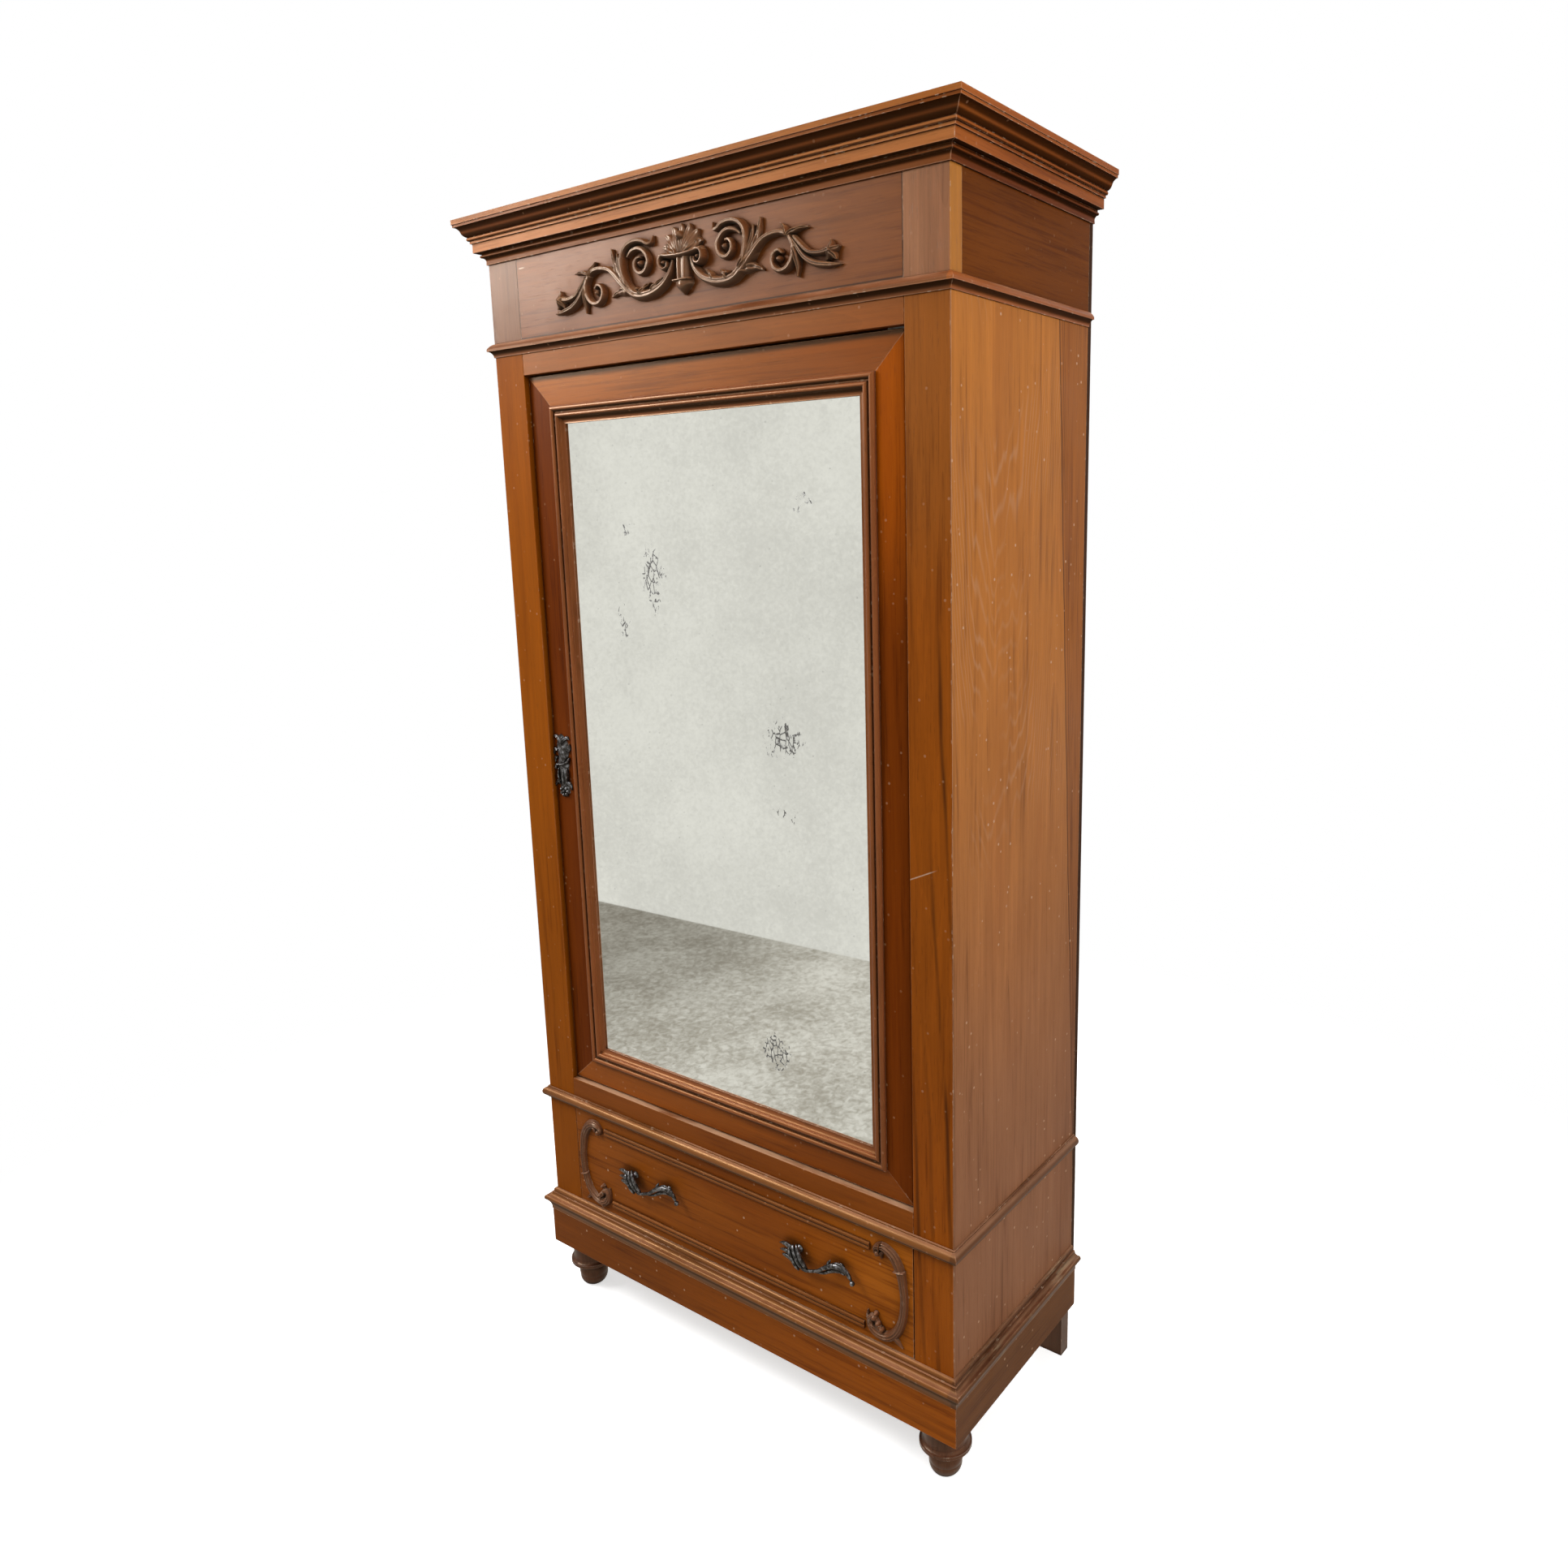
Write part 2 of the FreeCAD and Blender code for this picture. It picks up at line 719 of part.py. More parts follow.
def door_frame():
    """Four mitred members cut from one outline whose hinge edge is rounded about the pivot."""
    round_bulge = pivot_setback * (1 - math.sqrt(0.5))
    outline = [
        (-door_half, door_front),
        (pivot_x, door_front),
        (door_half, pivot_y, round_bulge),
        (door_half, door_back),
        (-door_half, door_back),
    ]
    face = outline_face(outline, lambda x, y: Vec(x, y, door_low))
    blank = face.extrude(Vec(0, 0, door_high - door_low))
    for flange, barrel in bush_seats():
        blank = blank.cut(flange).cut(barrel)
    depths = (door_front - door_thickness, door_back + door_thickness)
    outer = {"low_left": (-door_half, door_low), "low_right": (door_half, door_low),
             "high_left": (-door_half, door_high), "high_right": (door_half, door_high)}
    inner = {"low_left": (-hole_half, hole_low), "low_right": (hole_half, hole_low),
             "high_left": (-hole_half, hole_high), "high_right": (hole_half, hole_high)}
    corners = {
        "door_stile_lock": ("low_left", "high_left"),
        "door_stile_hinge": ("high_right", "low_right"),
        "door_rail_top": ("high_left", "high_right"),
        "door_rail_bottom": ("low_right", "low_left"),
    }
    members = {}
    for name, (first, second) in corners.items():
        shape = front_prism([outer[first], outer[second], inner[second], inner[first]], depths)
        members[name] = [blank.common(shape)]
    members["door_stile_lock"] = [members["door_stile_lock"][0].cut(keyhole((door_front, door_back)))]
    return members


def bush_seats():
    """The two pockets for each flanged bush, at the bottom and at the top of the door."""
    flange_top = door_low + bush_flange_thickness
    flange = upright(bush_flange_radius + bush_seat_gap, (door_low, flange_top), pivot_x, pivot_y)
    barrel = upright(bush_radius + bush_seat_gap, (door_low, door_low + bush_length), pivot_x, pivot_y)
    return [(flange, barrel), (upside_down(flange), upside_down(barrel))]


def keyhole(y_range):
    """Round hole with a slot below it, through a range of depths."""
    level = lock_level
    slot_x = (key_x - keyhole_slot_width / 2, key_x + keyhole_slot_width / 2)
    slot = box(slot_x, y_range, (level - keyhole_slot_length, level))
    return across(keyhole_radius, y_range, key_x, level).fuse(slot)


def mirror_profile():
    """Planted moulding seen along its length, as (inward, forward of the door's face)."""
    bead_start = outer_bead_width + bead_groove_width
    bead_end = bead_start + inner_bead_width
    frame_edge = mirror_moulding_width - mirror_lip
    return [
        (0, 0),
        (0, mirror_moulding_edge),
        (outer_bead_width, mirror_moulding_edge, mirror_moulding_edge - outer_bead_height),
        (outer_bead_width, bead_groove_height),
        (bead_start, bead_groove_height),
        (bead_end, bead_groove_height, bead_groove_height - inner_bead_height),
        (bead_end, 0),
        (mirror_moulding_width, -lip_front_depth, lip_front_depth / 2),
        (mirror_moulding_width, -lip_back_depth),
        (frame_edge, -lip_back_depth),
        (frame_edge, 0),
    ]


def mirror_mouldings():
    """Four mitred lengths of the planted moulding round the mirror."""
    profile = mirror_profile()
    out_half = sight_half + mirror_moulding_width
    out_low = sight_low - mirror_moulding_width
    out_high = sight_high + mirror_moulding_width
    depths = (door_front - door_thickness, door_back)
    across_run = Vec(2 * out_half, 0, 0)
    up_run = Vec(0, 0, out_high - out_low)
    top = outline_face(profile, lambda s, h: Vec(-out_half, door_front - h, out_high - s)).extrude(across_run)
    low = outline_face(profile, lambda s, h: Vec(-out_half, door_front - h, out_low + s)).extrude(across_run)
    left = outline_face(profile, lambda s, h: Vec(s - out_half, door_front - h, out_low)).extrude(up_run)
    right = outline_face(profile, lambda s, h: Vec(out_half - s, door_front - h, out_low)).extrude(up_run)
    outer = [(-out_half, out_low), (out_half, out_low), (out_half, out_high), (-out_half, out_high)]
    inner = [
        (-sight_half, sight_low),
        (sight_half, sight_low),
        (sight_half, sight_high),
        (-sight_half, sight_high),
    ]
    lengths = []
    for number, bar in enumerate((low, right, top, left)):
        following = (number + 1) % len(outer)
        shape = front_prism([outer[number], outer[following], inner[following], inner[number]], depths)
        lengths.append(bar.common(shape))
    return lengths


def mirror_and_backing():
    """Mirror glass behind the moulding's lip, a board behind it and four strips that hold both."""
    half = hole_half - glass_edge_gap
    low = hole_low + glass_edge_gap
    high = hole_high - glass_edge_gap
    glass_front = door_front + lip_back_depth
    glass_back = glass_front + glass_thickness
    backing_back = glass_back + backing_thickness
    strip_y = (backing_back, door_back)
    glass = box((-half, half), (glass_front, glass_back), (low, high))
    backing = box((-half, half), (glass_back, backing_back), (low, high))
    side_strip = box((hole_half - retainer_width, hole_half), strip_y, (hole_low, hole_high))
    end_x = (retainer_width - hole_half, hole_half - retainer_width)
    low_strip = box(end_x, strip_y, (hole_low, hole_low + retainer_width))
    high_strip = box(end_x, strip_y, (hole_high - retainer_width, hole_high))
    return {
        "mirror_moulding": mirror_mouldings(),
        "mirror_glass": [glass],
        "mirror_backing": [backing],
        "mirror_retainers": [mirrored(side_strip), side_strip, low_strip, high_strip],
    }


def door_fittings():
    """Pivot bushes, lock case with its bolt, and the escutcheon on the face of the lock stile."""
    flange_top = door_low + bush_flange_thickness
    flange = upright(bush_flange_radius, (door_low, flange_top), pivot_x, pivot_y)
    barrel = upright(bush_radius, (door_low, door_low + bush_length), pivot_x, pivot_y)
    bore = upright(pivot_pin_radius + pivot_running_gap, (door_low, door_low + bush_length), pivot_x, pivot_y)
    bush = fused([flange, barrel]).cut(bore)
    bolt_y = bolt_depths()
    case_x = (lock_case_left, lock_case_left + lock_case_width)
    case = box(case_x, (door_back, door_back + lock_case_depth),
               (lock_level - lock_case_height / 2, lock_level + lock_case_height / 2))
    half = bolt_height / 2
    bolt_x = (lock_case_left, lock_case_left + bolt_length)
    channel_x = (bolt_x[0], bolt_x[1] + bolt_gap)
    channel_y = (bolt_y[0] - bolt_gap, bolt_y[1] + bolt_gap)
    channel = box(channel_x, channel_y, (bolt_level - half - bolt_gap, bolt_level + half + bolt_gap))
    case = case.cut(channel).cut(keyhole((door_back, bolt_y[1])))
    bolt = box(bolt_x, bolt_y, (bolt_level - half, bolt_level + half))
    return {
        "pivot_bushes": [bush, upside_down(bush)],
        "lock_case": [case],
        "lock_bolt": [bolt],
        "escutcheon": [escutcheon()],
    }


def escutcheon():
    """Waisted cast plate with a leafy top and bottom, a raised boss and the keyhole."""
    plate_front = door_front - escutcheon_thickness
    tall = escutcheon_height / 2
    wide = escutcheon_width / 2
    right_side = [(0, tall), (wide, 0.74 * tall), (0.55 * wide, 0.4 * tall), (0.85 * wide, 0),
                  (0.55 * wide, -0.4 * tall), (wide, -0.74 * tall), (0, -tall)]
    left_side = [(-x, z) for x, z in reversed(right_side[1:-1])]
    points = [Vec(key_x + x, plate_front, lock_level + z) for x, z in right_side + left_side]
    line = Part.BSplineCurve()
    line.interpolate(points, True)
    plate = Part.Face(Part.Wire([line.toShape()])).extrude(Vec(0, escutcheon_thickness, 0))
    boss_front = plate_front - escutcheon_boss_height
    boss = across(0.5 * wide, (boss_front, door_front), key_x, lock_level)
    whole = fused([plate, boss])
    return whole.cut(keyhole((boss_front, door_front)))


# Drawer

def drawer():
    """Drawer box with its front, and the ornament, pulls and bolts that the front carries."""
    side_z = (drawer_low, drawer_low + drawer_side_height)
    front = box((-drawer_half, drawer_half), (0, board_thickness), (drawer_low, drawer_high))
    side = box((drawer_half - drawer_board, drawer_half), (board_thickness, drawer_end), side_z)
    inner = drawer_half - drawer_board
    bottom_low = drawer_low + drawer_bottom_lift
    bottom_top = bottom_low + drawer_bottom_thickness
    bottom = box((-inner, inner), (board_thickness, drawer_end), (bottom_low, bottom_top))
    back_y = (drawer_end - drawer_board, drawer_end)
    back = box((-inner, inner), back_y, (bottom_top, side_z[1] - drawer_back_drop))
    bolts = []
    hole_y = (0, board_thickness)
    for x, z in bolt_places():
        head_y = (board_thickness, board_thickness + pull_bolt_head_thickness)
        shank = across(pull_bolt_radius, (0, head_y[1]), x, z)
        head = across(pull_bolt_head_radius, head_y, x, z)
        bolts.append(fused([shank, head]))
        front = front.cut(across(pull_bolt_radius + pull_bolt_gap, hole_y, x, z))
    right_scroll = drawer_scroll()
    left_pull, right_pull = [pull(x) for x in pull_places()]
    return {
        "drawer_front": [front],
        "drawer_side_left": [mirrored(side)],
        "drawer_side_right": [side],
        "drawer_bottom": [bottom],
        "drawer_back": [back],
        "drawer_strips": [
            drawer_strip(scroll_rise - strip_top_drop, scroll_top_reach),
            drawer_strip(strip_bottom_rise - scroll_drop, scroll_bottom_reach),
        ],
        "drawer_scrolls": [mirrored(right_scroll), right_scroll],
        "pull_left": [left_pull],
        "pull_right": [right_pull],
        "pull_bolts": bolts,
    }


def pull_places():
    """The middle of each pull, left and right."""
    from_middle = drawer_half - pull_from_end
    return (pull_shift - from_middle, pull_shift + from_middle)


def bolt_places():
    """Where each pull's two posts stand on the drawer front."""
    return [(x + post_x, drawer_middle + post_z) for x in pull_places() for post_x, post_z in pull_posts()]


def drawer_strip(level, scroll_reach):
    """Thin strip with two beads side by side that stops short of the scroll at each end."""
    low = drawer_middle + level - strip_width / 2
    half = strip_width / 2
    half_length = drawer_half - 2 * scroll_half_width - scroll_reach - strip_end_gap
    bead_out = strip_thickness - strip_groove
    profile = [
        (0, 0),
        (strip_groove, 0),
        (strip_groove, half, bead_out),
        (strip_groove, strip_width, bead_out),
        (0, strip_width),
    ]
    face = outline_face(profile, lambda out, up: Vec(-half_length, -out, low + up))
    return face.extrude(Vec(2 * half_length, 0, 0))


def drawer_scroll():
    """C-shaped scroll at the right end of the drawer front, from its small upper curl to its lower volute."""
    edge = drawer_half - scroll_half_width
    upper = [(1.0, 0.88), (0.9, 0.99), (0.67, 1.0), (0.42, 0.88), (0.24, 0.63), (0.15, 0.32), (0.12, 0.0)]
    lower = [(0.15, 0.41), (0.29, 0.75), (0.52, 0.965), (0.79, 1.0), (0.96, 0.91), (1.0, 0.735)]
    widths = [0.35, 0.75, 1.1, 1.15, 1.1, 0.95, 0.95, 0.95, 0.95, 1.0, 1.05, 0.9, 0.5]
    points = [(edge - x * scroll_top_reach, drawer_middle + z * scroll_rise) for x, z in upper]
    points += [(edge - x * scroll_bottom_reach, drawer_middle - z * scroll_drop) for x, z in lower]
    return ribbon(points, [width * scroll_half_width for width in widths], (-scroll_thickness, 0))


def pull_unit():
    """Unit of the grid that the pull is drawn on, 164 units from end to end."""
    return pull_length / 164


def pull_posts():
    """The two posts of a pull, from its middle."""
    return [(-44 * pull_unit(), 9 * pull_unit()), (50 * pull_unit(), 9 * pull_unit())]


def pull(middle):
    """Cast pull: an uneven S-shaped bar that swells into a leaf at each post and ends in a ball."""
    unit = pull_unit()
    stations = [(-84, 6, 2.0), (-66, 9, 5.0), (-44, 2, 9.0), (-32, -14, 7.0), (-16, -19, 3.5), (8, -9, 3.5),
                (28, 8, 5.5), (50, 15, 7.0), (70, 8, 5.0), (80, -3, 3.0)]
    spots = [Vec(middle + x * unit, -pull_stand_off, drawer_middle + z * unit) for x, z, radius in stations]
    radii = [radius * unit for x, z, radius in stations]
    rings = []
    for number, spot in enumerate(spots):
        before = spots[max(number - 1, 0)]
        after = spots[min(number + 1, len(spots) - 1)]
        ring = Part.Circle(spot, after - before, radii[number])
        rings.append(Part.Wire([ring.toShape()]))
    bar = Part.makeLoft(rings, True, False)
    ball = Part.makeSphere(1.5 * radii[-1], spots[-1])
    posts = []
    for post_x, post_z in pull_posts():
        posts.append(across(pull_post_radius, (-pull_stand_off, 0), middle + post_x, drawer_middle + post_z))
    return fused([bar, ball] + posts)


# Frieze carving

def frieze_carving():
    """Torch in the middle of the frieze with a leafy scroll to each side, planted on the panel."""
    right = carved_scroll()
    return {"frieze_carving": [carved_torch(), right, mirrored(right)]}


def carving_unit():
    """Unit of the grid that the carving is drawn on, 316 units from its middle to its tip."""
    return carving_half_length / 316


def carving_spot(x, z):
    """A point of the carving's grid, counted from the middle of the frieze."""
    return (x * carving_unit(), (carcass_top + frieze_top) / 2 + z * carving_unit())


def carved(points, half_widths, depth=carving_depth):
    """One carved stem or leaf, from points and half widths on the carving's grid."""
    widths = [width * carving_unit() for width in half_widths]
    return ribbon([carving_spot(x, z) for x, z in points], widths, (-depth, 0))


def carved_scroll():
    """Right-hand scroll: a rising C with its volute, a second stem with a smaller volute, and leaves."""
    rising = carved(
        [(27, 2), (40, -14), (62, -27), (92, -32), (122, -24), (143, -7), (151, 14), (146, 37), (130, 50),
         (108, 53), (88, 46)],
        [3, 5, 7, 8, 8, 7, 6, 6, 6, 5, 3])
    volute = carved(
        [(131, 47), (108, 43), (92, 34), (86, 21), (93, 9), (106, 8), (113, 18), (107, 27), (98, 25)],
        [3, 4, 4, 4, 4, 4, 3.5, 3.5, 3])
    stem = carved(
        [(141, -9), (156, 8), (176, 19), (198, 23), (219, 17), (231, 2), (231, -16), (219, -29),
         (203, -29), (195, -17), (203, -6), (213, -10)],
        [5, 5, 4, 4, 4.5, 4.5, 4.5, 4.5, 4, 4, 3.5, 3])
    tail = carved(
        [(222, 14), (238, 4), (252, -10), (270, -22), (292, -29), (316, -33)],
        [3, 4, 4.5, 5, 4.5, 1.5])
    bud_stem = carved([(250, -6), (268, -13), (286, -13), (302, -10)], [3, 4, 4.5, 8])
    leaves = [
        carved([(143, 14), (153, 32), (166, 48)], [7, 6, 1]),
        carved([(134, -14), (150, -17), (168, -22)], [6, 5, 1]),
        carved([(222, 12), (214, 22), (205, 32)], [4, 4, 1]),
        carved([(226, 12), (244, 20), (261, 22)], [4, 4, 1]),
        carved([(236, 6), (240, -16), (238, -38)], [3, 6, 1]),
    ]
    return fused([rising, volute, stem, tail, bud_stem] + leaves)


def carved_torch():
    """Torch with a leafy flame, a curled cup rim, and a tapered shaft with a pointed end."""
    depths = (-torch_depth, 0)
    outlines = [
        [(-16, 12), (16, 12), (14, -14), (-14, -14)],
        [(-19, -14), (19, -14), (19, -26), (0, -40), (-19, -26)],
        [(-46, 26), (46, 26), (36, 12), (-36, 12)],
    ]
    pieces = [front_prism([carving_spot(x, z) for x, z in outline], depths) for outline in outlines]
    for side in (-38, 38):
        pieces.append(across(9 * carving_unit(), depths, *carving_spot(side, 12)))
    for lean in (-38, -20, 0, 20, 38):
        line = [(0.55 * lean, 22), (0.8 * lean, 42), (lean, 63 - abs(lean) / 4)]
        pieces.append(carved(line, [10, 9, 3], torch_depth))
    return fused(pieces)


# Export

def export(pieces):
    """Move each piece from the stiles' front plane to the middle of the outline, and write it."""
    os.makedirs("parts", exist_ok=True)
    for name, solids in pieces.items():
        shape = solids[0] if len(solids) == 1 else Part.makeCompound(solids)
        shape = shape.copy()
        shape.translate(Vec(0, -plan_middle, 0))
        shape.exportStep("parts/" + name + ".step")


groups = (carcass_boards, inner_boards, back_boards, frieze_and_cornice, trim_mouldings, plinth,
          carcass_fittings, door_frame, mirror_and_backing, door_fittings, drawer, frieze_carving)
all_pieces = {}
for group in groups:
    all_pieces.update(group())
export(all_pieces)
for name, solids in all_pieces.items():
    for solid in solids:
        if not solid.isValid() or len(solid.Solids) != 1:
            print("check", name, "valid", solid.isValid(), "solids", len(solid.Solids))
print(len(all_pieces), "nodes", sum(len(solids) for solids in all_pieces.values()), "solids")
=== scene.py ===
import math

import bmesh
import bpy
from mathutils import Matrix, Vector


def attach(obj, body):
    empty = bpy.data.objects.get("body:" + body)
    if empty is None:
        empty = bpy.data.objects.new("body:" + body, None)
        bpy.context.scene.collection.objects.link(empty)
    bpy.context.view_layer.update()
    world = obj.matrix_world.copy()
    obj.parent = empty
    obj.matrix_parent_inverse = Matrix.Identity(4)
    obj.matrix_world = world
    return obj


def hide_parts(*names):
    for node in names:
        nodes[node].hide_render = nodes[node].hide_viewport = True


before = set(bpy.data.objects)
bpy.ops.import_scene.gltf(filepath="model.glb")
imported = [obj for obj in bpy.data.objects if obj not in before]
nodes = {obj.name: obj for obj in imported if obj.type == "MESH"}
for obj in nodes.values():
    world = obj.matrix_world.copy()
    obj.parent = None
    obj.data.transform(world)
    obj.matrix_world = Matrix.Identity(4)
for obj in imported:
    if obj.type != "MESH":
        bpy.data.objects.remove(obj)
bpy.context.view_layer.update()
MM = 0.001


# Material helper

class Shader:
    """A procedural material. Each method adds nodes and returns the output that carries the result."""

    def __init__(self, name):
        self.material = bpy.data.materials.new(name)
        self.material.use_nodes = True
        self.tree = self.material.node_tree
        self.surface = self.tree.nodes["Principled BSDF"]
        self.place = self.node("ShaderNodeTexCoord").outputs["Object"]

    def node(self, kind, inputs=None, **settings):
        made = self.tree.nodes.new(kind)
        for key, value in settings.items():
            setattr(made, key, value)
        for key, value in (inputs or {}).items():
            self.feed(made.inputs[key], value)
        return made

    def feed(self, socket, value):
        if isinstance(value, bpy.types.NodeSocket):
            self.tree.links.new(value, socket)
        else:
            socket.default_value = value

    def math(self, operation, *values):
        return self.node("ShaderNodeMath", dict(enumerate(values)), operation=operation).outputs[0]

    def vector(self, operation, inputs, output="Vector"):
        return self.node("ShaderNodeVectorMath", inputs, operation=operation).outputs[output]

    def added(self, value, share, base):
        """A share of a value, added to a base."""
        return self.math("MULTIPLY_ADD", value, share, base)

    def product(self, first, *others):
        for other in others:
            first = self.math("MULTIPLY", first, other)
        return first

    def away(self, value, middle):
        """How far a value lies from a middle one."""
        return self.math("ABSOLUTE", self.math("SUBTRACT", value, middle))

    def step(self, value, low, high):
        """0 below low, 1 above high, smooth between. With low above high it falls instead of rising."""
        inputs = {"Value": value, "From Min": low, "From Max": high}
        return self.node("ShaderNodeMapRange", inputs, interpolation_type="SMOOTHSTEP").outputs[0]

    def mix(self, share, first, second, blend="MIX"):
        made = self.node("ShaderNodeMix", data_type="RGBA", blend_type=blend)
        self.feed(made.inputs[0], share)
        self.feed(made.inputs[6], first)
        self.feed(made.inputs[7], second)
        return made.outputs[2]

    def mapped(self, vector, scale=(1, 1, 1), turn=(0, 0, 0), shift=(0, 0, 0)):
        inputs = {"Vector": vector, "Scale": scale, "Rotation": turn, "Location": shift}
        return self.node("ShaderNodeMapping", inputs).outputs[0]

    def noise(self, vector, scale, detail=3.0, roughness=0.5, distortion=0.0):
        inputs = {"Vector": vector, "Scale": scale, "Detail": detail, "Roughness": roughness,
                  "Distortion": distortion}
        return self.node("ShaderNodeTexNoise", inputs).outputs[0]

    def cells(self, vector, scale, feature="F1"):
        inputs = {"Vector": vector, "Scale": scale}
        return self.node("ShaderNodeTexVoronoi", inputs, feature=feature).outputs["Distance"]

    def ramp(self, value, stops):
        made = self.node("ShaderNodeValToRGB", {"Fac": value})
        made.color_ramp.interpolation = "EASE"
        elements = made.color_ramp.elements
        while len(elements) < len(stops):
            elements.new(0.5)
        for element, (where, colour) in zip(elements, stops):
            element.position = where
            element.color = colour
        return made.outputs[0]

    def axis(self, name):
        """One coordinate of the place, in metres."""
        return self.node("ShaderNodeSeparateXYZ", {0: self.place}).outputs[name]

    def tilt(self):
        """1 on a level top, 0 on an upright face and -1 on an underside."""
        normal = self.node("ShaderNodeNewGeometry").outputs["Normal"]
        return self.node("ShaderNodeSeparateXYZ", {0: normal}).outputs["Z"]

    def edges(self, radius):
        """1 on sharp edges and 0 on flat faces."""
        rounded = self.node("ShaderNodeBevel", {"Radius": radius}, samples=4).outputs[0]
        plain = self.node("ShaderNodeNewGeometry").outputs["Normal"]
        along = self.vector("DOT_PRODUCT", {0: rounded, 1: plain}, "Value")
        return self.step(along, 0.985, 0.86)

    def open_sky(self, distance):
        """1 where a face is open to its surroundings and 0 deep in a corner."""
        inputs = {"Distance": distance}
        return self.node("ShaderNodeAmbientOcclusion", inputs, samples=6).outputs["AO"]

    def bump(self, height, strength, distance):
        inputs = {"Height": height, "Strength": strength, "Distance": distance}
        self.feed(self.surface.inputs["Normal"], self.node("ShaderNodeBump", inputs).outputs[0])

    def glow(self, colour, strength):
        return self.node("ShaderNodeEmission", {"Color": colour, "Strength": strength})

    def show(self, shader):
        """Shows a shader node in place of the usual surface."""
        self.feed(self.tree.nodes["Material Output"].inputs["Surface"], shader.outputs[0])
        return self.material

    def finish(self, colour, roughness, **uniform):
        self.feed(self.surface.inputs["Base Color"], colour)
        self.feed(self.surface.inputs["Roughness"], roughness)
        for key, value in uniform.items():
            self.surface.inputs[key.replace("_", " ")].default_value = value
        return self.material


def rgb(red, green, blue):
    return (red, green, blue, 1.0)


def scaled(colour, *shares):
    """A colour times one share, or times one share for each channel."""
    if len(shares) == 1:
        shares = shares * 3
    return tuple(channel * share for channel, share in zip(colour, shares)) + (1.0,)


# Materials

# Wear colours. In wood() the lighter edges and tops drawn with them are also painted highlights.
tan_wear = rgb(0.50, 0.29, 0.17)
pink_wear_and_highlight = rgb(0.50, 0.25, 0.14)
pale_nick = rgb(0.66, 0.50, 0.36)
vein_brown = rgb(0.026, 0.007, 0.002)
amber = rgb(1.0, 0.55, 0.20)
clear_wax = rgb(1.0, 0.86, 0.74)
brown_wax = rgb(1.0, 0.78, 0.57)


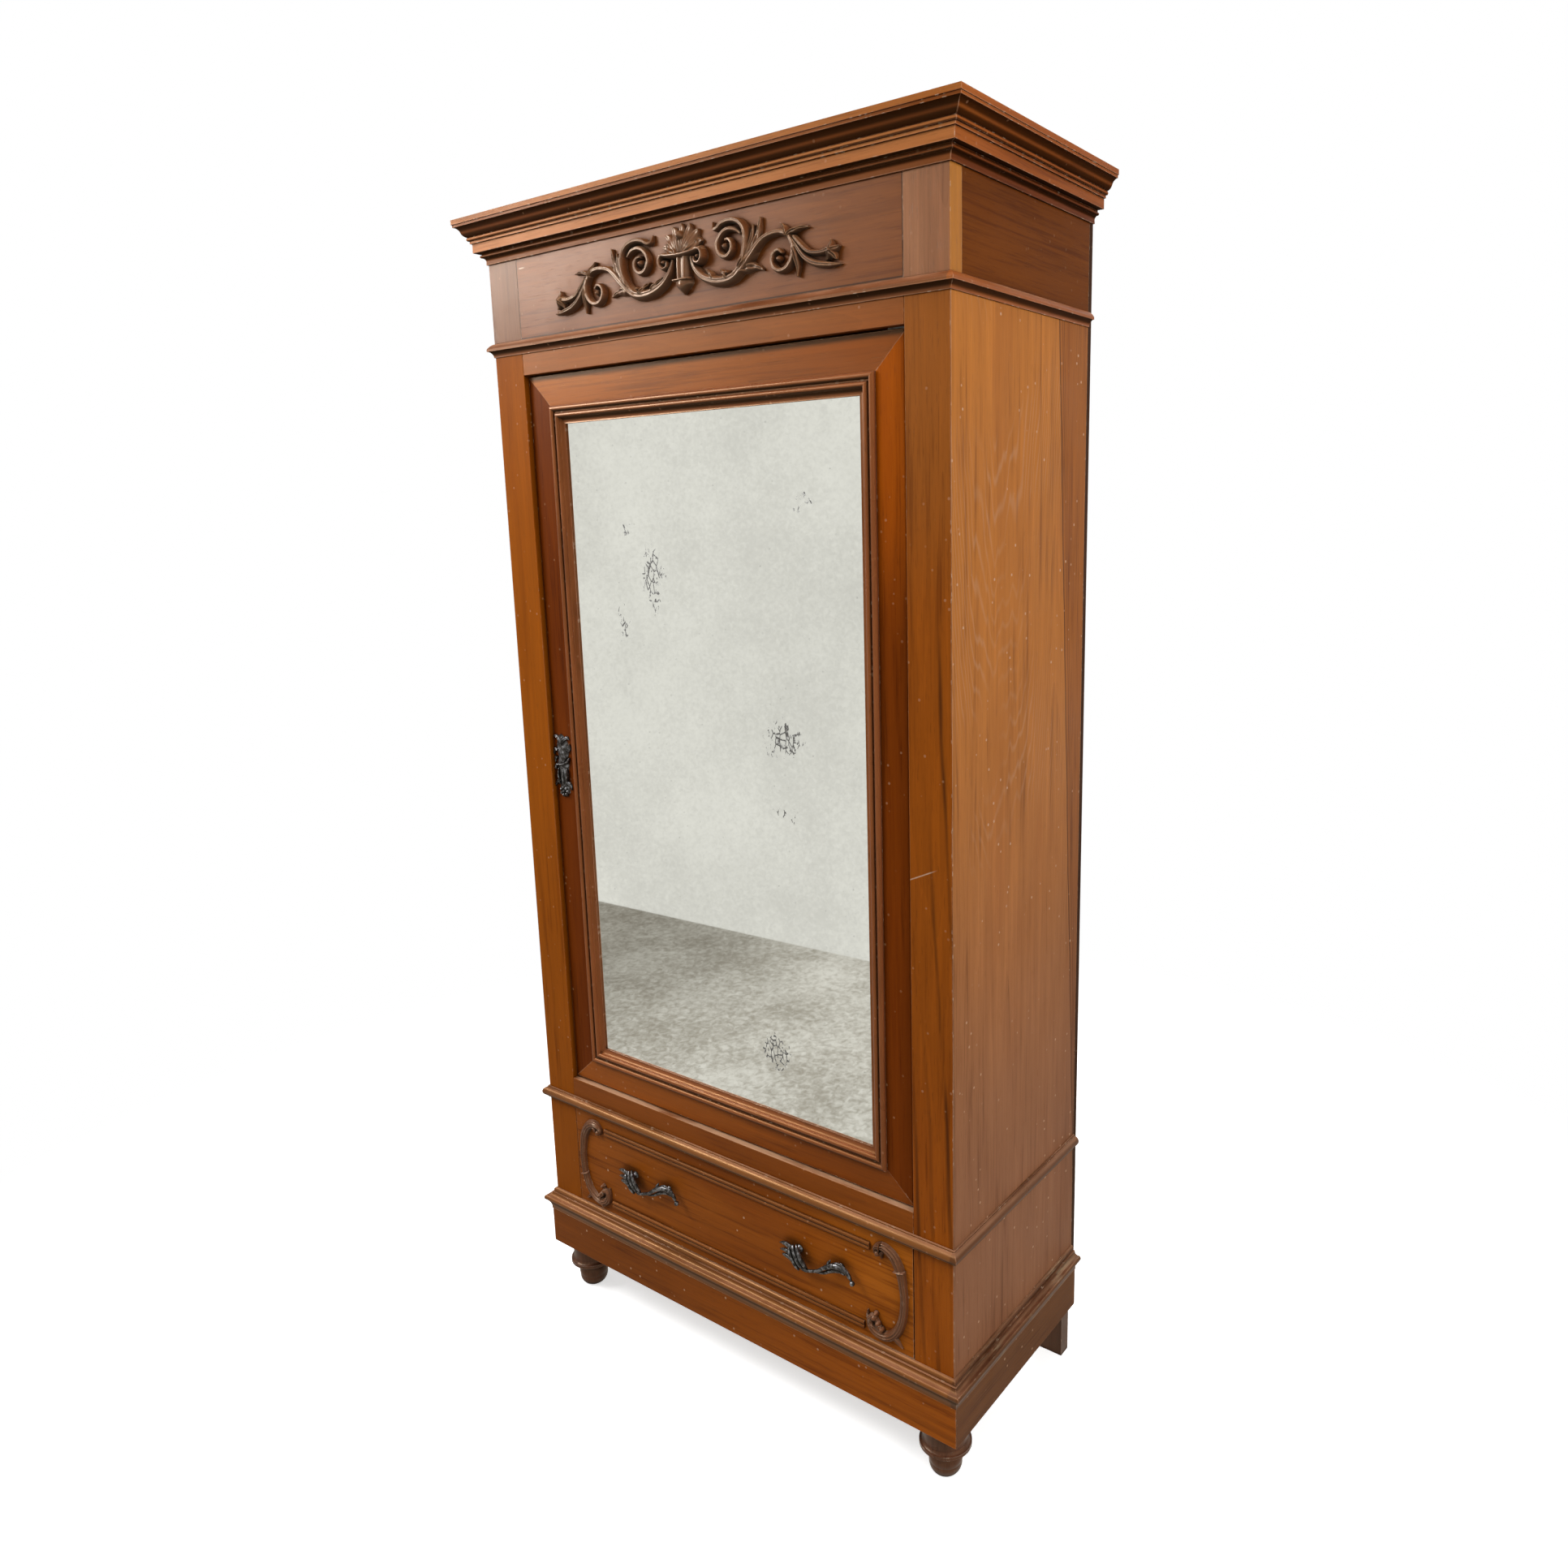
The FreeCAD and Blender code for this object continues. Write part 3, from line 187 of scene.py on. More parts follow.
def wood(name, grain, colour, depth=0.35, rings=0.5, streaks=0.25, drift=0.35, wear=0.5, dirt_and_shade=0.6, specks=0.3,
         roughness=0.42, worn_and_lit_colour=tan_wear, gloss=0.1, wax=amber, hollow=0.03, top_wear_and_light=0.0, underside_shade=0.0, fades=(),
         touch=None):
    """Waxed wood whose grain runs along the named axes, two for a moulding that turns a corner. Depth is how
    much darker the late wood is, wax the colour of its sheen and hollow the reach of the darkening in hollows
    and corners, which is dark wax and also painted shade. Lighter sharp edges and tops are wear and also a
    painted highlight, and the dark on what faces down is painted shade. Fades are (axis, low, high, tint),
    some of them painted shadow, shade, highlights and sheens, and touch is a function that adds what only
    this board has."""
    made = Shader(name)
    own = made.node("ShaderNodeObjectInfo").outputs["Random"]
    offset = made.vector("SCALE", {0: (3.1, 5.7, 4.3), "Scale": own})
    place = made.vector("ADD", {0: made.place, 1: offset})

    def along(share):
        """The place, drawn together along the grain so that what is laid on it comes out long."""
        return made.mapped(place, scale=[share if axis in grain else 1.0 for axis in "xyz"])

    hairs = made.noise(along(0.025), 230.0, 5.0, 0.7)
    bands = made.noise(along(0.05), 78.0, 3.0, 0.58, 0.3)
    clouds = made.noise(along(0.35), 4.5, 3.0, 0.55)
    pores = made.step(made.noise(along(0.05), 800.0, 2.0, 0.5), 0.60, 0.72)
    growth = made.math("FRACT", made.product(made.noise(along(0.055), 6.5, 1.6, 0.45, 0.2), 20.0))
    growth = made.product(growth, made.step(made.noise(along(0.2), 7.0, 2.0), 0.40, 0.62), 0.13 * rings)
    tone = made.added(hairs, 0.38, made.added(bands, 0.36, growth))
    tone = made.added(clouds, 0.26, tone)
    late = scaled(colour, 1.0 - depth, 1.0 - 1.15 * depth, 1.0 - 1.2 * depth)
    early = scaled(colour, 1.0 + 0.5 * depth)
    shade = made.ramp(tone, [(0.38, late), (0.51, colour), (0.66, early)])
    # Tints along an axis; some of them paint shadow, shade, highlights and sheens.
    for where, low, high, tint in fades:
        shade = made.mix(made.step(made.axis(where), low, high), shade, tint, "MULTIPLY")
    red_patch = made.step(made.noise(along(0.16), 6.0, 3.0, 0.6, 0.4), 0.46, 0.64)
    shade = made.mix(made.product(red_patch, drift), shade, rgb(0.62, 0.48, 0.42), "MULTIPLY")
    dark_streaks = made.step(made.noise(along(0.04), 30.0, 4.0, 0.6, 0.8), 0.55, 0.70)
    shade = made.mix(made.product(dark_streaks, streaks), shade, scaled(colour, 0.34, 0.30, 0.28))
    shade = made.mix(made.product(pores, 0.4), shade, scaled(colour, 0.4))
    if touch:
        shade = touch(made, shade, place)
    # Darker in hollows and corners that see little open sky: dark wax there, and painted shade as well.
    sky = made.open_sky(hollow)
    grime_and_shade = made.product(made.step(sky, 0.88, 0.35), dirt_and_shade)
    shade = made.mix(grime_and_shade, shade, scaled(colour, 0.10))
    matt = grime_and_shade
    # Painted shade: faces that look downwards are drawn darker.
    if underside_shade:
        below = made.product(made.step(made.tilt(), -0.1, -0.6), underside_shade)
        shade = made.mix(below, shade, scaled(colour, 0.05))
        matt = made.math("MAXIMUM", grime_and_shade, below)
    # Sharp edges drawn lighter: polish gone from them, and a painted highlight along the edges.
    edge = made.edges(0.0022)
    patchy = made.step(made.noise(along(0.15), 24.0, 4.0, 0.65), 0.34, 0.60)
    edge_rub_and_highlight = made.product(edge, made.step(sky, 0.35, 0.6), patchy, wear)
    shade = made.mix(edge_rub_and_highlight, shade, worn_and_lit_colour)
    nicks = made.product(edge, made.step(made.cells(place, 70.0), 0.30, 0.18), wear)
    shade = made.mix(nicks, shade, pale_nick)
    # What faces up drawn lighter: wear of the polish, and a painted highlight of light from above.
    if top_wear_and_light:
        rubbed = made.product(made.step(made.tilt(), 0.45, 0.9), patchy, top_wear_and_light)
        shade = made.mix(rubbed, shade, worn_and_lit_colour)
    dots = made.step(made.cells(place, 46.0), 0.135, 0.07)
    thin = made.step(made.noise(place, 9.0, 2.0), 0.43, 0.57)
    dots = made.product(dots, thin, specks)
    shade = made.mix(dots, shade, worn_and_lit_colour)
    height = made.math("SUBTRACT", made.product(hairs, 0.5), made.product(pores, 0.7))
    height = made.math("SUBTRACT", height, made.product(dots, 1.5))
    made.bump(height, 0.2, 0.0006)
    uneven = made.noise(place, 7.0, 4.0, 0.6)
    dull = made.added(uneven, 0.22, made.added(matt, 0.55, roughness - 0.11))
    return made.finish(shade, dull, Specular_IOR_Level=gloss, Specular_Tint=wax)


seam_top = (0.135, 1.86)
seam_low = (0.200, 0.92)
figure_middle = -0.06
figure_curve = 26.0
glue_brown = rgb(0.035, 0.010, 0.003)


def side_figure(made, shade, place):
    """Pale pointed figure down the middle of the side, and a glue line with a browner board behind it."""
    apart = made.math("SUBTRACT", made.axis("Y"), figure_middle)
    rise = made.added(made.product(apart, apart), -figure_curve, made.axis("Z"))
    sway = made.noise(made.mapped(place, scale=(1, 1, 0.12)), 11.0, 3.0, 0.55)
    bent = made.added(sway, 0.5, rise)
    away = made.math("PINGPONG", made.product(bent, 17.0), 0.5)
    figure = made.product(made.step(away, 0.22, 0.0), made.step(made.noise(place, 4.0, 3.0), 0.42, 0.62))
    shade = made.mix(made.product(figure, made.step(made.axis("Z"), 0.9, 1.3), 0.24), shade, tan_wear)
    slope = (seam_top[0] - seam_low[0]) / (seam_top[1] - seam_low[1])
    wander = made.noise(made.mapped(place, scale=(0, 0, 1)), 5.0, 2.0)
    line = made.added(made.axis("Z"), slope, seam_top[0] - slope * seam_top[1] - 0.006)
    line = made.added(wander, 0.012, line)
    behind = made.math("SUBTRACT", made.axis("Y"), line)
    browner = made.product(made.step(behind, -0.001, 0.003), 0.75)
    shade = made.mix(browner, shade, rgb(0.66, 0.56, 0.48), "MULTIPLY")
    for shift, half, strength in ((0.0, 0.0022, 0.85), (0.011, 0.0014, 0.5), (0.017, 0.0012, 0.35)):
        glue = made.step(made.away(behind, shift), half, half * 0.3)
        shade = made.mix(made.product(glue, strength), shade, glue_brown)
    return shade


scuff_level = 0.885
scuff_slope = 0.46


def stile_veins(made, shade, place):
    """Dark veins that lean across the right stile, broad low down, thin and near the corner above, and a pale
    scuff that crosses the stile between them."""
    across, height = made.axis("X"), made.axis("Z")
    stretched = made.mapped(place, scale=(1, 1, 0.12))
    lean = made.added(height, 0.05, across)
    lean = made.added(made.noise(stretched, 16.0, 3.0), 0.03, lean)
    away = made.math("PINGPONG", made.product(lean, 32.0), 0.5)
    below = made.step(height, 0.95, 0.45)
    veins = made.step(made.added(below, -0.04, away), 0.16, 0.0)
    corner = made.product(made.step(across, 0.452, 0.474), made.step(height, 1.55, 1.35))
    broken = made.step(made.noise(stretched, 24.0, 3.0), 0.36, 0.62)
    veins = made.product(veins, made.math("MAXIMUM", below, corner), broken, 0.75)
    shade = made.mix(veins, shade, vein_brown)
    rise = made.added(across, -scuff_slope, height)
    scuff = made.step(made.away(rise, scuff_level), 0.0016, 0.0004)
    scuff = made.product(scuff, made.step(across, 0.475, 0.455), made.noise(place, 160.0, 3.0))
    return made.mix(scuff, shade, pale_nick)


panel_foot = 1.9675
panel_end = 0.4212
panel_chip = (-0.408, 2.088)


def panel_joints(made, shade, place):
    """Open joints along the foot and the ends of the frieze panel, and a pale chip at its top left."""
    across, height = made.axis("X"), made.axis("Z")
    foot = made.away(height, panel_foot)
    ends = made.away(made.math("ABSOLUTE", across), panel_end)
    joint = made.step(made.math("MINIMUM", foot, ends), 0.0018, 0.0006)
    shade = made.mix(made.product(joint, 0.9), shade, vein_brown)
    chip_length = made.step(made.away(across, panel_chip[0]), 0.011, 0.004)
    chip = made.product(chip_length, made.step(made.away(height, panel_chip[1]), 0.0018, 0.0004))
    return made.mix(made.product(chip, made.noise(place, 150.0, 3.0)), shade, pale_nick)


def side_scrapes(made, shade, place):
    """Polish scraped off in thin grey streaks along the right side of the base moulding."""
    side = made.product(made.step(made.axis("X"), 0.500, 0.503), made.step(made.axis("Z"), 0.236, 0.228))
    streaks = made.step(made.noise(made.mapped(place, scale=(1, 0.09, 1)), 110.0, 4.0, 0.7), 0.50, 0.62)
    patches = made.step(made.noise(place, 9.0, 3.0), 0.40, 0.56)
    return made.mix(made.product(side, streaks, patches, 0.7), shade, rgb(0.27, 0.20, 0.12))


plank_width = 0.2
planks_to_edge = 2.5
nail_rows = 0.62
nail_row_shift = 0.36
nail_from_joint = 0.13
nail_size = 0.0042
nail_black = rgb(0.035, 0.025, 0.02)


def planks(made, shade, place):
    """Dark joints between the back boards, and nail heads beside them."""
    boards = made.added(made.axis("X"), 1 / plank_width, planks_to_edge)
    across = made.math("PINGPONG", boards, 0.5)
    joint = made.step(made.product(across, plank_width), 0.0026, 0.0008)
    shade = made.mix(made.product(joint, 0.9), shade, vein_brown)
    rows = made.added(made.axis("Z"), 1 / nail_rows, -nail_row_shift)
    above = made.product(made.math("PINGPONG", rows, 0.5), nail_rows)
    beside = made.added(across, plank_width, -nail_from_joint * plank_width)
    squares = made.math("ADD", made.math("POWER", above, 2.0), made.product(beside, beside))
    nail = made.step(made.math("SQRT", squares), nail_size, 0.8 * nail_size)
    return made.mix(nail, shade, nail_black)


def mirror_glass():
    """Old silvering: haze, and foxing in crackled clusters of (x, z, half width, half height, cover)."""
    made = Shader("mirror_silver")
    clusters = [(-0.190, 1.618, 0.016, 0.022, 0.7), (-0.132, 1.537, 0.030, 0.060, 1.0),
                (-0.206, 1.449, 0.022, 0.042, 0.8), (0.162, 1.274, 0.050, 0.036, 0.95),
                (0.122, 0.702, 0.044, 0.032, 0.9), (0.208, 1.658, 0.030, 0.014, 0.42),
                (0.158, 1.149, 0.030, 0.016, 0.42)]
    fray = 0.05
    wavy = made.node("ShaderNodeTexNoise", {"Vector": made.place, "Scale": 26.0, "Detail": 2.0})
    wavy = made.vector("SCALE", {0: wavy.outputs["Color"], "Scale": fray})
    frayed = made.vector("ADD", {0: made.place, 1: wavy})
    frayed = made.mapped(frayed, shift=(-fray / 2, -fray / 2, -fray / 2))
    cover = None
    for x, z, half_width, half_height, most in clusters:
        share = made.mapped(frayed, scale=(1 / half_width, 0, 1 / half_height),
                            shift=(-x / half_width, 0, -z / half_height))
        reach = made.vector("LENGTH", {0: share}, "Value")
        near = made.product(made.step(reach, 1.3, 0.2), most)
        cover = near if cover is None else made.math("MAXIMUM", cover, near)
    flat = made.mapped(made.place, scale=(1, 0, 0.6))
    crack = made.step(made.cells(flat, 105.0, "DISTANCE_TO_EDGE"), 0.12, 0.03)
    broken = made.step(made.added(cover, 0.30, made.noise(flat, 120.0, 3.0, 0.6)), 0.64, 0.72)
    spots = made.step(made.cells(flat, 190.0), 0.28, 0.18)
    scatter = made.step(made.added(cover, 0.30, made.noise(flat, 90.0, 2.0)), 0.68, 0.76)
    foxing = made.math("MAXIMUM", made.product(crack, broken), made.product(spots, scatter))
    foxing = made.product(foxing, made.step(cover, 0.02, 0.30), 0.95)
    haze = made.noise(made.place, 3.0, 4.0, 0.6)
    silver = made.ramp(haze, [(0.3, rgb(0.86, 0.87, 0.85)), (0.7, rgb(0.93, 0.94, 0.92))])
    shade = made.mix(foxing, silver, rgb(0.045, 0.04, 0.035))
    made.feed(made.surface.inputs["Metallic"], made.math("SUBTRACT", 1.0, foxing))
    rough = made.added(foxing, 0.5, 0.02)
    return made.finish(shade, rough)


def cast_metal(name):
    """Dark aged cast metal, rubbed bright on what stands proud."""
    made = Shader(name)
    mottled = made.noise(made.place, 160.0, 5.0, 0.65)
    sky = made.open_sky(0.006)
    bright = made.product(made.step(sky, 0.45, 0.95), made.step(mottled, 0.15, 0.75))
    shade = made.ramp(bright, [(0.0, rgb(0.012, 0.009, 0.007)), (0.5, rgb(0.050, 0.045, 0.042)),
                               (1.0, rgb(0.30, 0.30, 0.32))])
    made.bump(mottled, 0.25, 0.0004)
    rough = made.added(bright, -0.2, 0.48)
    return made.finish(shade, rough, Metallic=0.9)


def dull_iron():
    made = Shader("dull_iron")
    mottled = made.noise(made.place, 120.0, 5.0, 0.65)
    rust = made.step(made.noise(made.place, 45.0, 4.0, 0.6), 0.52, 0.72)
    shade = made.ramp(mottled, [(0.3, rgb(0.08, 0.075, 0.07)), (0.7, rgb(0.22, 0.21, 0.20))])
    shade = made.mix(made.product(rust, 0.6), shade, rgb(0.14, 0.06, 0.025))
    made.bump(mottled, 0.3, 0.0004)
    rough = made.added(rust, 0.3, 0.38)
    return made.finish(shade, rough, Metallic=0.7)


golden = rgb(0.255, 0.064, 0.0030)
olive = rgb(0.24, 0.058, 0.0036)
side_tan = rgb(0.40, 0.138, 0.025)
dark_red = rgb(0.130, 0.025, 0.0012)
drawer_brown = rgb(0.235, 0.060, 0.0050)
frieze_brown = rgb(0.172, 0.046, 0.0065)
moulding_brown = rgb(0.270, 0.090, 0.023)
fascia_brown = rgb(0.40, 0.135, 0.034)
pine = rgb(0.40, 0.23, 0.095)

stile_foot = ("Z", 0.85, 0.55, rgb(1.25, 1.25, 1.2))
# Painted sheen: the head of the right stile drawn paler and greyer.
painted_stile_head_sheen = ("Z", 1.45, 1.75, rgb(1.03, 1.2, 2.2))
stile_return = ("X", 0.4980, 0.4992, rgb(1.6, 1.45, 0.35))
high_door = ("Z", 1.40, 1.75, rgb(2.2, 2.35, 0.8))
# Painted shadow: the top of the door's top rail drawn dark, where the rail above shades it.
door_top_painted_shadow = ("Z", 1.888, 1.896, rgb(0.10, 0.08, 0.07))
door_right = ("X", -0.30, 0.30, rgb(0.72, 0.64, 0.50))
# Painted sheen of the floor: the side drawn greyer and darker towards the bottom.
low_side_painted_sheen = ("Z", 1.50, 0.40, rgb(0.70, 0.86, 2.30))
crown = ("Z", 2.1510, 2.1525, rgb(0.45, 0.31, 0.10))
# Painted highlight: the top edge of the cornice drawn pale, as if lit from above.
top_edge_painted_highlight = ("Z", 2.1735, 2.1750, rgb(1.7, 2.3, 5.0))
frieze_right = ("X", -0.2, 0.2, rgb(1.7, 1.85, 1.9))
# Painted shade: the cornice below the fascia drawn dark.
bed_painted_shade = ("Z", 2.1262, 2.1250, rgb(0.46, 0.38, 0.28))
waist_side = ("X", 0.4990, 0.5005, rgb(1.7, 1.5, 0.8))
board_edge_right = ("X", 0.4975, 0.4990, rgb(0.4, 0.3, 0.2))
board_edge_left = ("X", -0.4975, -0.4990, rgb(0.4, 0.3, 0.2))
drawer_right = ("X", 0.0, 0.36, rgb(1.55, 1.65, 1.25))
plinth_right = ("X", -0.40, 0.45, rgb(1.8, 1.8, 1.6))
moulding_side = ("X", 0.497, 0.502, rgb(0.50, 0.44, 0.62))
bare = {"depth": 0.3, "rings": 1.0, "streaks": 0.1, "roughness": 0.65, "wax": clear_wax}
# These settings paint shade into hollows, and for mouldings onto downward faces as well.
moulded = {"depth": 0.35, "dirt_and_shade": 0.97, "hollow": 0.007, "worn_and_lit_colour": pink_wear_and_highlight, "underside_shade": 0.9}
carved = {"depth": 0.3, "dirt_and_shade": 0.95, "hollow": 0.010, "wax": brown_wax}

materials = {
    "stile_left": wood("walnut_stile_left", "z", golden, depth=0.30, rings=0.3, streaks=0.12, drift=0.25,
                       gloss=0.05),
    "stile_right": wood("walnut_stile_right", "z", olive, depth=0.38, rings=0.6, streaks=0.25,
                        fades=[stile_foot, painted_stile_head_sheen], touch=stile_veins),
    "rail": wood("walnut_rail", "x", scaled(olive, 0.88), depth=0.35, streaks=0.2, gloss=0.22, top_wear_and_light=0.8),
    "door_lock": wood("walnut_door_lock_side", "z", scaled(dark_red, 1.08), depth=0.45, streaks=0.4, dirt_and_shade=0.9,
                      roughness=0.38, gloss=0.06),
    "door_hinge": wood("walnut_door_hinge_side", "z", scaled(dark_red, 1.18), depth=0.45, streaks=0.4,
                       dirt_and_shade=0.9, roughness=0.38, gloss=0.06, fades=[high_door]),
    "door_x": wood("walnut_door_rail", "x", scaled(dark_red, 2.3, 3.0, 4.5), depth=0.4, roughness=0.36,
                   gloss=0.25, fades=[door_top_painted_shadow, door_right]),
    "side": wood("walnut_side", "z", side_tan, depth=0.38, rings=0.6, streaks=0.08, drift=0.25, wear=0.9,
                 specks=1.0, roughness=0.46, fades=[low_side_painted_sheen], touch=side_figure),
    "frieze_x": wood("walnut_frieze", "x", frieze_brown, depth=0.45, streaks=0.3, dirt_and_shade=0.95, hollow=0.018,
                     specks=0.1, roughness=0.34, gloss=0.17, wax=brown_wax, touch=panel_joints),
    "frieze_z": wood("walnut_frieze_stile", "z", rgb(0.150, 0.057, 0.024), depth=0.42, streaks=0.2,
                     specks=0.1, roughness=0.36, gloss=0.16, wax=brown_wax,
                     fades=[frieze_right, stile_return]),
    "frieze_y": wood("walnut_frieze_side", "y", rgb(0.138, 0.035, 0.0028), depth=0.36, streaks=0.2,
                     specks=0.1, gloss=0.03),
    "cornice_x": wood("walnut_cornice_front", "x", fascia_brown, wear=0.6, gloss=0.12, top_wear_and_light=0.2,
                      fades=[crown, top_edge_painted_highlight, bed_painted_shade], **moulded),
    "cornice_y": wood("walnut_cornice_side", "y", scaled(moulding_brown, 1.12, 0.86, 0.46), wear=0.6,
                      gloss=0.08, fades=[bed_painted_shade], **moulded),
    "waist": wood("walnut_waist_moulding", "xy", rgb(0.150, 0.042, 0.012), wear=0.7, gloss=0.3, top_wear_and_light=0.7,
                  fades=[waist_side], **moulded),
    "moulding": wood("walnut_moulding", "xy", scaled(moulding_brown, 0.68), wear=0.8, roughness=0.32,
                     gloss=0.6, top_wear_and_light=0.35, fades=[moulding_side], touch=side_scrapes, **moulded),
    "drawer": wood("walnut_drawer", "x", scaled(drawer_brown, 1.08), depth=0.50, rings=0.1, streaks=0.25,
                   drift=0.5, dirt_and_shade=0.9, specks=0.9, fades=[drawer_right]),
    "drawer_strip": wood("walnut_drawer_strip", "x", rgb(0.18, 0.052, 0.010), wear=0.15, gloss=0.3,
                         **moulded),
    "plinth_x": wood("walnut_plinth", "x", scaled(drawer_brown, 0.78, 0.74, 0.6), depth=0.42, rings=0.2,
                     streaks=0.3, specks=0.8, top_wear_and_light=0.4, fades=[plinth_right]),
    "plinth_y": wood("walnut_plinth_side", "y", scaled(drawer_brown, 0.62, 0.8, 2.2), depth=0.42, rings=0.2,
                     specks=0.8, top_wear_and_light=0.5),
    "mirror_frame": wood("walnut_mirror_frame", "xz", rgb(0.21, 0.062, 0.020), wear=0.6, roughness=0.30,
                         gloss=0.45, **moulded),
    "carved": wood("walnut_carved", "x", rgb(0.150, 0.051, 0.017), wear=0.8, specks=0.0, roughness=0.25,
                   gloss=0.9, worn_and_lit_colour=rgb(0.42, 0.21, 0.095), top_wear_and_light=0.35, underside_shade=0.7, **carved),
    "drawer_carved": wood("walnut_drawer_carved", "z", rgb(0.135, 0.042, 0.013), wear=0.6, specks=0.0,
                          roughness=0.30, gloss=0.5, worn_and_lit_colour=rgb(0.40, 0.22, 0.14), top_wear_and_light=0.35, underside_shade=0.6,
                          **carved),
    "feet": wood("walnut_feet", "z", rgb(0.110, 0.039, 0.018), depth=0.45, wear=0.9, dirt_and_shade=0.9, roughness=0.30,
                 gloss=0.4, worn_and_lit_colour=rgb(0.40, 0.26, 0.20), wax=brown_wax, hollow=0.013, underside_shade=0.6),
    "back": wood("dusty_pine_back", "z", scaled(pine, 0.85, 0.80, 0.75), touch=planks,
                 fades=[board_edge_right, board_edge_left], **bare),
    "pine_z": wood("bare_pine_upright", "z", pine, **bare),
    "pine_x": wood("bare_pine_level", "x", pine, **bare),
    "pine_y": wood("bare_pine_deep", "y", pine, **bare),
    "mirror": mirror_glass(),
    "metal": cast_metal("aged_cast_metal"),
    "iron": dull_iron(),
}

finish_of = {
    "stile_left": ["front_stile_left"],
    "stile_right": ["front_stile_right"],
    "rail": ["top_rail", "bottom_rail", "base_rail"],
    "door_lock": ["door_stile_lock"],
    "door_hinge": ["door_stile_hinge"],
    "door_x": ["door_rail_top", "door_rail_bottom"],
    "side": ["side_panel_left", "side_panel_right"],
    "frieze_x": ["frieze_panel"],
    "frieze_z": ["frieze_stiles"],
    "frieze_y": ["frieze_sides"],
    "cornice_x": ["cornice_front"],
    "cornice_y": ["cornice_left", "cornice_right"],
    "waist": ["waist_moulding"],
    "moulding": ["lower_bead", "base_moulding"],
    "drawer": ["drawer_front"],
    "plinth_x": ["plinth_front"],
    "plinth_y": ["plinth_left", "plinth_right"],
    "mirror_frame": ["mirror_moulding"],
    "carved": ["frieze_carving"],
    "drawer_carved": ["drawer_scrolls"],
    "drawer_strip": ["drawer_strips"],
    "feet": ["front_foot_left", "front_foot_right", "rear_foot_left", "rear_foot_right"],
    "back": ["back_boards"],
    "pine_z": ["corner_blocks", "mirror_backing", "mirror_retainers"],
    "pine_x": ["cornice_top", "cabinet_ceiling", "cabinet_floor", "dust_board", "shelves", "plinth_back",
               "door_stops", "drawer_back", "drawer_bottom"],
    "pine_y": ["shelf_cleats", "drawer_runners", "drawer_stops", "drawer_side_left", "drawer_side_right"],
    "mirror": ["mirror_glass"],
    "metal": ["escutcheon", "pull_left", "pull_right"],
    "iron": ["pivot_pins", "pivot_bushes", "lock_keeper", "lock_case", "lock_bolt", "pull_bolts"],
}

for finish, names in finish_of.items():
    for name in names:
        mesh = nodes[name].data
        mesh.materials.clear()
        mesh.materials.append(materials[finish])


# Ornament: carved and cast pieces, drawn in millimetres on an upright face

def cubic(values, share):
    first, second, third, fourth = values
    bend = 3 * (second - third) + fourth - first
    swing = 2 * first - 5 * second + 4 * third - fourth
    return second + 0.5 * share * (third - first + share * (swing + share * bend))


def blended(rows, spacing, width):
    """Rows on a smooth line through the given rows, about spacing apart. A row's first width values are its
    place."""
    last = len(rows) - 1
    smooth = []
    for number in range(last):
        near = [rows[max(number - 1, 0)], rows[number], rows[number + 1], rows[min(number + 2, last)]]
        count = max(1, math.ceil(math.dist(near[1][:width], near[2][:width]) / spacing))
        for part in range(count):
            smooth.append([cubic(values, part / count) for values in zip(*near)])
    smooth.append(list(rows[last]))
    return smooth


def headings(rows, width):
    """The direction of travel at each row."""
    found = []
    for number in range(len(rows)):
        before = Vector(rows[max(number - 1, 0)][:width])
        after = Vector(rows[min(number + 1, len(rows) - 1)][:width])
        found.append((after - before).normalized())
    return found


